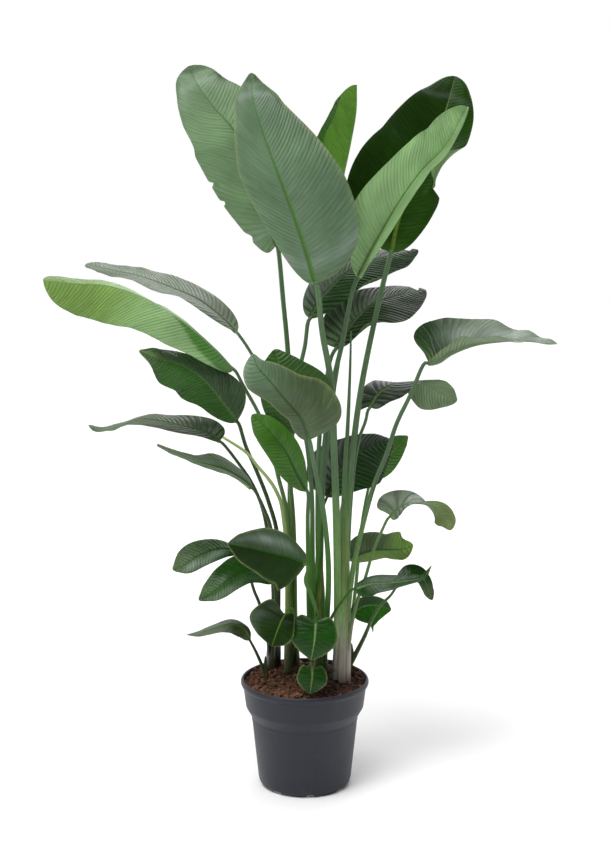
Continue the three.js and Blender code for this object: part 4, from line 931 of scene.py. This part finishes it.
def blade(leaf, number):
    """A leaf blade as one closed shell, its upper side in slot 0 and its under side in slot 1."""
    rib = Rib(leaf)
    seed = 100 + 10 * number
    t = np.linspace(0, 1, int(np.clip(rib.length / ROW_STEP, *ROW_LIMITS)) + 1)
    x = ROW_EVENNESS * t + (1 - ROW_EVENNESS) / 2 * (1 - np.cos(np.pi * t))
    halves = [blade_half(leaf, rib, x, side, seed + 2 + 2 * side) for side in (-1, 1)]
    joined = (np.concatenate([left[:, :0:-1], right], 1) for left, right in zip(*halves))
    points, a, ridge, wide, reach = joined
    deep, broad = a.shape
    side = np.where(np.arange(broad) < HALF_COLUMNS - 1, -1, 1)[None, :]

    frame_up = rib.at(rib.length * x)[2][:, None, :]
    normal = unit(np.cross(np.gradient(points, axis=1), np.gradient(points, axis=0)))
    normal[0], normal[-1] = normal[1], normal[-2]
    # Next to the midrib a sharp fold spoils the normals, and the midrib's own way up takes over.
    weak = (dot(normal, frame_up) < 0.05) & (a < 1.5 * ridge)[..., None]
    normal = np.where(weak, frame_up, normal)
    inside = np.clip(1 - (a / (1.02 * ridge)) ** 2, 0, 1)
    girth = leaf["radii"][0] * ((1 - x) ** 1.3)[:, None]
    thick = 0.5 * (BLADE_THICKNESS + (MARGIN_THICKNESS - BLADE_THICKNESS) * ease(0.7, 1.0, a))
    groove = GROOVE * girth * inside - GROOVE_LIP * girth * bell(a / ridge - 1.1, 0.3)
    keel = KEEL * girth * np.sqrt(inside)
    top = points + normal * (thick - groove)[..., None]
    low = points - normal * (thick + keel)[..., None]

    along = np.broadcast_to((rib.length * x)[:, None], a.shape)
    skin = np.stack([along / SKIN_UNIT, side * a * wide / SKIN_UNIT + SKIN_STEP * number], -1)
    tints = [leaf_colours(leaf, reach, a, side, ridge, wide, seed, under) for under in (False, True)]
    veined = (0.12 + 1.1 * leaf["pleat"]) * ease(0.5, 1.6, a / ridge)
    upper, lower = grid_faces(deep, broad), grid_faces(deep, broad, deep * broad, flip=True)
    part = {"points": [top, low], "pleat": [veined, veined], "tint": tints, "skin": [skin, skin],
            "faces": [(upper, 0), (rim_faces(deep, broad), 0), (lower, 1)]}
    skins = (LEAF_TOPS.get(leaf["tone"], leaf_top), leaf_under)
    ride(body("blade_" + leaf["name"][5:], [part], skins), leaf["name"])


# stalks
LEAF_END_SPAN, FOOT_SPAN = (720, 480), (410, 250)


def stalk_colours(points, tones):
    """Stalk colour from the leaf end, past the middle, to the foot in the soil."""
    z = points[..., 2]
    colour = mix(tones[0], tones[1], ease(*LEAF_END_SPAN, z))
    colour = mix(colour, tones[2], ease(*FOOT_SPAN, z))
    blotch = noise(z, 30 * np.arctan2(points[..., 1], points[..., 0]), 45, 5)
    return np.clip(colour * (1 + 0.12 * blotch)[..., None], 0, 1)


def stalk(leaf, tones):
    """A leaf stalk with its channel on the upper side, from the blade down into its shoot."""
    centre, tangent, up, _ = (v[0] for v in Rib(leaf).at(np.zeros(1)))
    start = [centre + STALK_TUCK * tangent, centre - 3 * leaf["radii"][0] * tangent]
    return tube(start + leaf["stalk"], leaf["radii"], up, np.array(tones) * leaf["stem"], blade_end=True)


def tube(route, radii, up, tones, blade_end=False):
    """A stalk along a route, thicker towards its foot, with a channel on its upper side."""
    line = Line(route)
    count = 3 + int(line.length / STALK_RING_STEP)
    s = line.length * np.linspace(0, 1, count) ** RING_CROWDING
    centres, tangents = line.place(s), line.tangent(s)
    radius = radii[0] + (radii[1] - radii[0]) * (s / line.length) ** (1 / STALK_TAPER)
    radius = radius * (1 + STALK_FLARE * ease(line.length - FLARE_LENGTH, line.length, s))
    turn = round_turn(STALK_SIDES)
    points, normal = [], np.asarray(up, float)
    for i in range(count):
        normal = unit(normal - tangents[i] * dot(normal, tangents[i]))
        other = np.cross(tangents[i], normal)
        near = math.exp(-s[i] / BLADE_END_LENGTH) if blade_end else 0.0
        channel = (CHANNEL_DEPTH + 0.3 * near) * bell(np.minimum(turn, 2 * np.pi - turn), CHANNEL_WIDTH)
        centre = centres[i] - normal * radius[i] * 0.55 * near
        spoke = np.cos(turn)[:, None] * normal + np.sin(turn)[:, None] * other
        points.append(centre + spoke * (radius[i] * (1 - channel))[:, None])
    points = np.array(points)
    skin = np.stack(np.broadcast_arrays(s[:, None] / SKIN_UNIT, turn / (2 * np.pi)), -1)
    return ringed(points, tint=stalk_colours(points, tones), skin=skin)


def smooth_column(heights, values, at):
    """Values given by height, read at even heights with their corners eased."""
    grid = np.interp(at, heights, values)
    window = np.hanning(15)[1:-1]
    padded = np.pad(grid, 6, mode="reflect", reflect_type="odd")
    return np.convolve(padded, window / window.sum(), "valid")


def sheath(shoot):
    """The wrapped leaf bases of a shoot, with the open edge of each base as a thin dry margin."""
    foot = shoot["foot"]
    table = np.array([[SHEATH_FOOT, *foot], [SHEATH_SOCKET, *foot], *shoot["rings"]], float)
    heights = np.arange(SHEATH_FOOT, table[-1, 0] + 0.1, SHEATH_STEP)
    closing = table[-1, 0] + 6 * np.arange(1, len(SHEATH_CLOSING) + 1)
    z = np.concatenate([heights, closing])
    shape = [smooth_column(table[:, 0], column, heights) for column in table[:, 1:].T]
    x0, y0, a0, b0 = (np.concatenate([v, np.full(len(closing), v[-1])]) for v in shape)
    a0[-len(closing) :] *= SHEATH_CLOSING
    b0[-len(closing) :] *= SHEATH_CLOSING
    turn = round_turn(SHEATH_SIDES, -np.pi)
    step = np.zeros((len(z), SHEATH_SIDES))
    line = np.zeros_like(step)
    above, below = LIP_OPENING
    for height, low_turn, high_turn in shoot["edges"]:
        share = np.clip((z - SHEATH_FAN) / (height - SHEATH_FAN), 0, 1.2)
        place = np.radians(low_turn + (high_turn - low_turn) * share**1.4)[:, None]
        away = (turn - place + np.pi) % (2 * np.pi) - np.pi
        open_here = ease(height + above, height - below, z)[:, None]
        step += SHEATH_LIP * open_here * ease(-0.07, 0.07, away) * ease(2.6, 0.4, away)
        line = np.maximum(line, open_here * bell(away, LIP_LINE))
    height, ribs = SHEATH_RIBS
    wide = step + (height * np.sin(turn * ribs) + 0.3 * noise(turn * 12, 0, 2.2, 31))
    points = levels(
        x0[:, None] + (a0[:, None] + wide) * np.cos(turn),
        y0[:, None] + (b0[:, None] + wide) * np.sin(turn),
        z,
    )
    streak = noise(turn * 30, 0, 3.1, 17) + 0.6 * noise(turn * 60, 0, 1.9, 18)
    streak = 0.2 * streak * ease(420, 240, points[..., 2])
    colour = stalk_colours(points, shoot["tones"]) * (1 + streak)[..., None]
    colour = np.clip(mix(colour, DRY_MARGIN, 0.8 * line), 0, 1)
    skin = np.stack(np.broadcast_arrays(z[:, None] / SKIN_UNIT, turn / 2), -1)
    return ringed(points, tint=colour, skin=skin)


# the pot
def rounded(profile):
    """Each corner of an outline cut back by its own reach and eased with a short curve."""
    places = []
    for i, (r, z, reach) in enumerate(profile):
        here = np.array([r, z], float)
        if reach == 0:
            places.append(here)
            continue
        back = np.array(profile[i - 1][:2], float) - here
        on = np.array(profile[i + 1][:2], float) - here
        first = here + back * min(reach / np.linalg.norm(back), 0.48)
        last = here + on * min(reach / np.linalg.norm(on), 0.48)
        for t in (0, 0.25, 0.5, 0.75, 1):
            places.append((1 - t) ** 2 * first + 2 * t * (1 - t) * here + t * t * last)
    return np.array(places)


def pot():
    """The pot, turned from its outline of radius, height and reach of each corner's rounding."""
    profile = [
        (0.5, 0, 0),
        (BASE_RADIUS, 0, 2),
        (92.5, 2, 2),
        (96.5, 8, 3),
        (WALL_FOOT_RADIUS, WALL_FOOT, 4),
        (STEP_FOOT_RADIUS - 0.9, STEP_FOOT - 9, 1),
        (STEP_FOOT_RADIUS - 0.2, STEP_FOOT - 8, 1),
        (STEP_FOOT_RADIUS, STEP_FOOT, 2),
        (STEP_TOP_RADIUS, STEP_TOP, 4),
        (COLLAR_FOOT_RADIUS, COLLAR_FOOT, 3),
        (COLLAR_FOOT_RADIUS + 0.6, COLLAR_FOOT + 5, 1),
        (COLLAR_TOP_RADIUS, COLLAR_TOP, 2),
        (133.5, 218, 1.5),
        (RIM_RADIUS, 223, 3),
        (134.5, 228.5, 2.5),
        (131.5, POT_HEIGHT, 2),
        (128.5, 228.5, 2),
        (COLLAR_TOP_RADIUS - WALL, COLLAR_TOP, 3),
        (COLLAR_FOOT_RADIUS - WALL, COLLAR_FOOT, 3),
        (STEP_TOP_RADIUS - WALL, STEP_TOP, 3),
        (STEP_FOOT_RADIUS - WALL, STEP_FOOT, 3),
        (WALL_FOOT_RADIUS - WALL, WALL_FOOT, 3),
        (93.5, 7, 2),
        (BASE_RADIUS, FLOOR, 2),
        (0.5, FLOOR, 0),
    ]
    r, z = rounded(profile).T[:, :, None]
    turn = round_turn(POT_SEGMENTS)
    points = levels(r * np.cos(turn), r * np.sin(turn), z)
    shade = 1 + 0.10 * noise(points[..., 0], points[..., 2], 60, 51)
    piece = body("nursery_pot", [ringed(points, tint=POT_TINT * shade[..., None])], [pot_plastic()])
    cutters = pot_cutters()
    for cutter in cutters:
        cut = piece.modifiers.new("cut", "BOOLEAN")
        cut.operation, cut.solver, cut.object = "DIFFERENCE", "EXACT", cutter
    bpy.context.view_layer.update()
    graph = bpy.context.evaluated_depsgraph_get()
    mesh = bpy.data.meshes.new_from_object(piece.evaluated_get(graph))
    piece.modifiers.clear()
    piece.data = mesh
    for cutter in cutters:
        bpy.data.objects.remove(cutter)
    ride(piece, "pot")


def pot_cutters():
    """The drain holes and the notches in the foot."""
    blocks = []
    turn = round_turn(DRAIN_HOLE_SIDES)
    for i in range(DRAIN_HOLES):
        at = 2 * math.pi * (i + 0.5) / DRAIN_HOLES
        x = DRAIN_RING * math.cos(at) + DRAIN_HOLE_RADIUS * np.cos(turn)
        y = DRAIN_RING * math.sin(at) + DRAIN_HOLE_RADIUS * np.sin(turn)
        blocks.append(levels(np.array([x, x]), np.array([y, y]), DRAIN_CUT))
    w, h = NOTCH_WIDTH / 2, NOTCH_HEIGHT
    arch = [(-w, -h), (w, -h), (w, 2.2), (6.2, 4.2), (4.2, h), (-4.2, h), (-6.2, 4.2), (-w, 2.2)]
    for i in range(NOTCHES):
        at = 2 * math.pi * i / NOTCHES + NOTCH_TURN
        out = np.array([math.cos(at), math.sin(at)])
        over = np.array([-math.sin(at), math.cos(at)])
        rings = [[[*(out * r + over * across), z] for across, z in arch] for r in NOTCH_REACH]
        blocks.append(np.array(rings))
    cutters = [body(f"cutter_{i}", [ringed(rings)], []) for i, rings in enumerate(blocks)]
    for cutter in cutters:
        cutter.hide_render = True
    return cutters


# the soil
def soil_height(x, y):
    """The level of the soil at a place: its heaps, its dip along the pot and low waves."""
    z = SOIL_LEVEL
    for across, deep, height, spread in HEAPS:
        z = z + height * np.exp(-((x - across) ** 2 + (y - deep) ** 2) / spread)
    ring, depth, spread = EDGE_DIP
    z = z - depth * np.exp(-((np.hypot(x, y) - ring) ** 2) / spread)
    z = z + 1.8 * np.sin(x * 0.11 + 1.3) * np.sin(y * 0.13 + 0.4)
    return z + 1.1 * np.sin(x * 0.29 + y * 0.21) + 1.0 * np.sin(y * 0.33 - x * 0.17 + 2)


def painted_soil_light(x):
    """Painted light and shade on the soil: lighter on the left and darker on the right."""
    return 1.7 - 0.95 * ease(-50, 60, x)


def soil():
    """Heaped coir with crumbs, bark chips and fibres lying on it."""
    turn = round_turn(SOIL_SIDES)
    radius = SOIL_RADIUS * np.linspace(1, 0.004, SOIL_RINGS)[:, None]
    x, y = radius * np.cos(turn), radius * np.sin(turn)
    rough = sum(height * noise(x, y, cell, seed) for height, cell, seed in LUMPS)
    z = soil_height(x, y) + rough * ease(SOIL_RADIUS, SOIL_RADIUS - 3, np.hypot(x, y))
    skirt = np.array(SKIRT)
    wall = levels(skirt[:, :1] * np.cos(turn), skirt[:, :1] * np.sin(turn), skirt[:, 1])
    points = np.concatenate([wall, np.stack([x, y, z], -1)])
    x, y = points[..., 0], points[..., 1]
    share = np.clip(0.5 + 0.5 * noise(x, y, 9, 71) + 0.25 * noise(x, y, 30, 72), 0, 1)
    # The soil's tint carries painted light and shade, lighter on the left.
    tint = mix(SOIL_DARK, SOIL_WARM, share) * painted_soil_light(x)[..., None]
    parts = [ringed(points, tint=tint), crumbs(), fibres()]
    ride(body("potting_soil", parts, [crumb_skin()]), "soil")


def scattered(random, count):
    """Places on the soil, spread evenly."""
    radius = (SOIL_RADIUS - 5) * np.sqrt(random.uniform(0, 1, count))
    turn = random.uniform(0, 2 * np.pi, count)
    x, y = radius * np.cos(turn), radius * np.sin(turn)
    return np.stack([x, y, soil_height(x, y)], -1)


def litter(bits, quads, colour, shades):
    """One part from bits that all have the same faces, each bit with its own shade."""
    bits = np.array(bits)
    count = bits.shape[1]
    faces = np.concatenate([quads + count * i for i in range(len(bits))])
    tint = np.array(colour) * np.repeat(shades, count)[:, None]
    return {"points": bits, "faces": [(faces, 0)], "tint": np.clip(tint, 0, 1)}


def crumbs():
    """Broken bits: each is a rough eight-cornered lump."""
    random = np.random.default_rng(81)
    corner = np.array([[i, j, k] for i in (-1, 1) for j in (-1, 1) for k in (-1, 1)], float)
    quads = np.array([[0, 1, 3, 2], [4, 6, 7, 5], [0, 4, 5, 1], [2, 3, 7, 6], [0, 2, 6, 4], [1, 5, 7, 3]])
    lumps, shades = [], []
    for place in scattered(random, CRUMBS):
        size = random.uniform(*CRUMB_SIZES)
        size = size * np.array([random.uniform(0.8, 2.4), 1.0, random.uniform(0.4, 0.9)])
        lump = corner * size * random.uniform(0.65, 1.2, (8, 3))
        spin = turned(random.uniform(*ANY_TURN), random.uniform(-0.8, 0.8), random.uniform(-0.8, 0.8))
        lumps.append(lump @ spin.T + place + [0, 0, random.uniform(0.2, 2.6)])
        shades.append(painted_soil_light(place[0]) * random.choice(CRUMB_SHADES, p=CRUMB_ODDS))
    return litter(lumps, quads, CRUMB_TINT, shades)


def fibres():
    """Coir fibres: thin bent strands."""
    random = np.random.default_rng(82)
    strands, shades = [], []
    for place in scattered(random, FIBRES):
        length, heading = random.uniform(*FIBRE_LENGTHS), random.uniform(*ANY_TURN)
        bend, rise = random.uniform(-0.9, 0.9), random.uniform(0.0, 3.0)
        strand = []
        for t in np.linspace(0, 1, FIBRE_POINTS):
            along = heading + bend * (t - 0.5)
            spot = place[:2] + (t - 0.5) * length * np.array([math.cos(along), math.sin(along)])
            spot = spot * min(1.0, (SOIL_RADIUS - 3) / max(np.hypot(*spot), 1))
            lift = soil_height(spot[0], spot[1]) + 1.6 + rise * math.sin(math.pi * t)
            over = np.array([-math.sin(along), math.cos(along), 0]) * FIBRE_HALF_BREADTH
            centre = np.array([*spot, lift])
            strand += [centre + over, centre + [0, 0, 0.5], centre - over]
        strands.append(strand)
        shades.append(painted_soil_light(place[0]) * random.uniform(0.6, 2.4))
    return litter(strands, grid_faces(FIBRE_POINTS, 3, closed=True), FIBRE_TINT, shades)


def turned(a, b, c):
    """The matrix of a turn by c about X, then b about Y, then a about Z."""
    ca, sa, cb, sb, cc, sc = math.cos(a), math.sin(a), math.cos(b), math.sin(b), math.cos(c), math.sin(c)
    z = np.array([[ca, -sa, 0], [sa, ca, 0], [0, 0, 1]])
    y = np.array([[cb, 0, sb], [0, 1, 0], [-sb, 0, cb]])
    x = np.array([[1, 0, 0], [0, cc, -sc], [0, sc, cc]])
    return z @ y @ x


# the plant
leaf_top = leaf_skin("leaf_top", vein=0.085, gloss=0.38, contrast=0.26, depth=0.0012, shine=0.4, glints=0.5)
dark_top = leaf_skin(
    "leaf_top_dark", vein=0.085, gloss=0.34, contrast=0.20, depth=0.0008, shine=0.1, glints=0.04)
gloss_top = leaf_skin(
    "leaf_top_glossy", vein=0.075, gloss=0.25, contrast=0.18, depth=0.0008, shine=0.27, glints=0.1)
# The ribbed skin's strong bands paint the grey sheen on the pleats of the dark leaves.
ribbed_top = leaf_skin(
    "leaf_top_ribbed", vein=0.115, gloss=0.32, contrast=0.62, depth=0.0021, shine=0.27, glints=0.15,
    waver=0.25)
leaf_under = leaf_skin(
    "leaf_under", vein=0.085, gloss=0.52, contrast=0.18, depth=0.0009, shine=0.3, glints=0.2)
LEAF_TOPS = {"night": dark_top, "deep": gloss_top, "mature": gloss_top, "ribbed": ribbed_top,
             "dark": ribbed_top, "sheen_grey": ribbed_top}
stalk_paint = stalk_skin("stalk_skin", gloss=0.42, shine=0.28)
old_paint = stalk_skin("old_stalk_skin", gloss=0.6, shine=0.3)

pot()
soil()
for number, entry in enumerate(LEAVES):
    blade(entry, number)
for name, shoot in SHOOTS.items():
    tones = shoot["tones"]
    parts = [sheath(shoot)]
    parts += [stalk(entry, tones) for entry in LEAVES if entry["shoot"] == name]
    if name == "shoot_4":
        parts.append(tube(*SPEAR, (0, -1, 0), tones))
    ride(body("clump_" + name[6:], parts, [stalk_paint]), name)
old = tube(*OLD_STALK, (0, 0, 1), OLD_TONES)
ride(body("old_stalk", [old], [old_paint]), "stalk_pale")

# the studio
GROUND_RADIUS, GROUND_LEVEL, GROUND_SIDES = 9000, -0.5, 96
turn = round_turn(GROUND_SIDES)
disc = levels(GROUND_RADIUS * np.cos([turn]), GROUND_RADIUS * np.sin([turn]), GROUND_LEVEL)
ground = {"points": disc, "faces": [(np.arange(GROUND_SIDES), 0)]}
body("studio_ground", [ground], [plain_floor()])


def lamp(name, kind, energy, way):
    """A light that shines along a way."""
    light = bpy.data.lights.new(name, kind)
    light.energy = energy
    thing = placed(name, light)
    thing.rotation_euler = Vector(way).to_track_quat("-Z", "Y").to_euler()
    return thing


def softbox(name, place, aim, width, height, power):
    thing = lamp(name, "AREA", power, (np.array(aim) - np.array(place)).tolist())
    thing.data.shape = "RECTANGLE"
    thing.data.size, thing.data.size_y = width, height
    thing.location = place
    thing.visible_camera = False


softbox("softbox_left", place=(-2.2, -2.4, 2.4), aim=(0, 0, 1.0), width=1.3, height=1.8, power=26)
softbox("softbox_back", place=(0.6, 2.6, 2.6), aim=(0, 0, 0.9), width=2.2, height=1.6, power=24)
lamp("key", "SUN", energy=2.3, way=(0.32, 0.45, -1.2)).data.angle = math.radians(36)

# The air is bright towards the back and dim towards the front; the camera sees it plain white.
world = bpy.data.worlds.new("studio_air")
world.use_nodes = True
bpy.context.scene.world = world
air = Nodes(world.node_tree)
depth = air.node("SeparateXYZ", "Y", [(0, air.node("TexCoord", "Generated"))])
glow = air.math("MAXIMUM", air.range(depth, 0.12, 1.0, -0.5, 0.6), air.node("LightPath", "Is Camera Ray"))
air.fill(air.tree.nodes["Background"], [("Strength", glow), ("Color", (1, 1, 1, 1))])

CAMERA_PLACE = (0.0005, -3.5, 1.43)
CAMERA_DIP = 10.62
LENS = 73.35
camera = placed("camera", bpy.data.cameras.new("camera"))
camera.data.lens = LENS
camera.location = CAMERA_PLACE
camera.rotation_euler = (math.radians(90 - CAMERA_DIP), 0, 0)
bpy.context.scene.camera = camera
bpy.context.scene.view_settings.view_transform = "Standard"
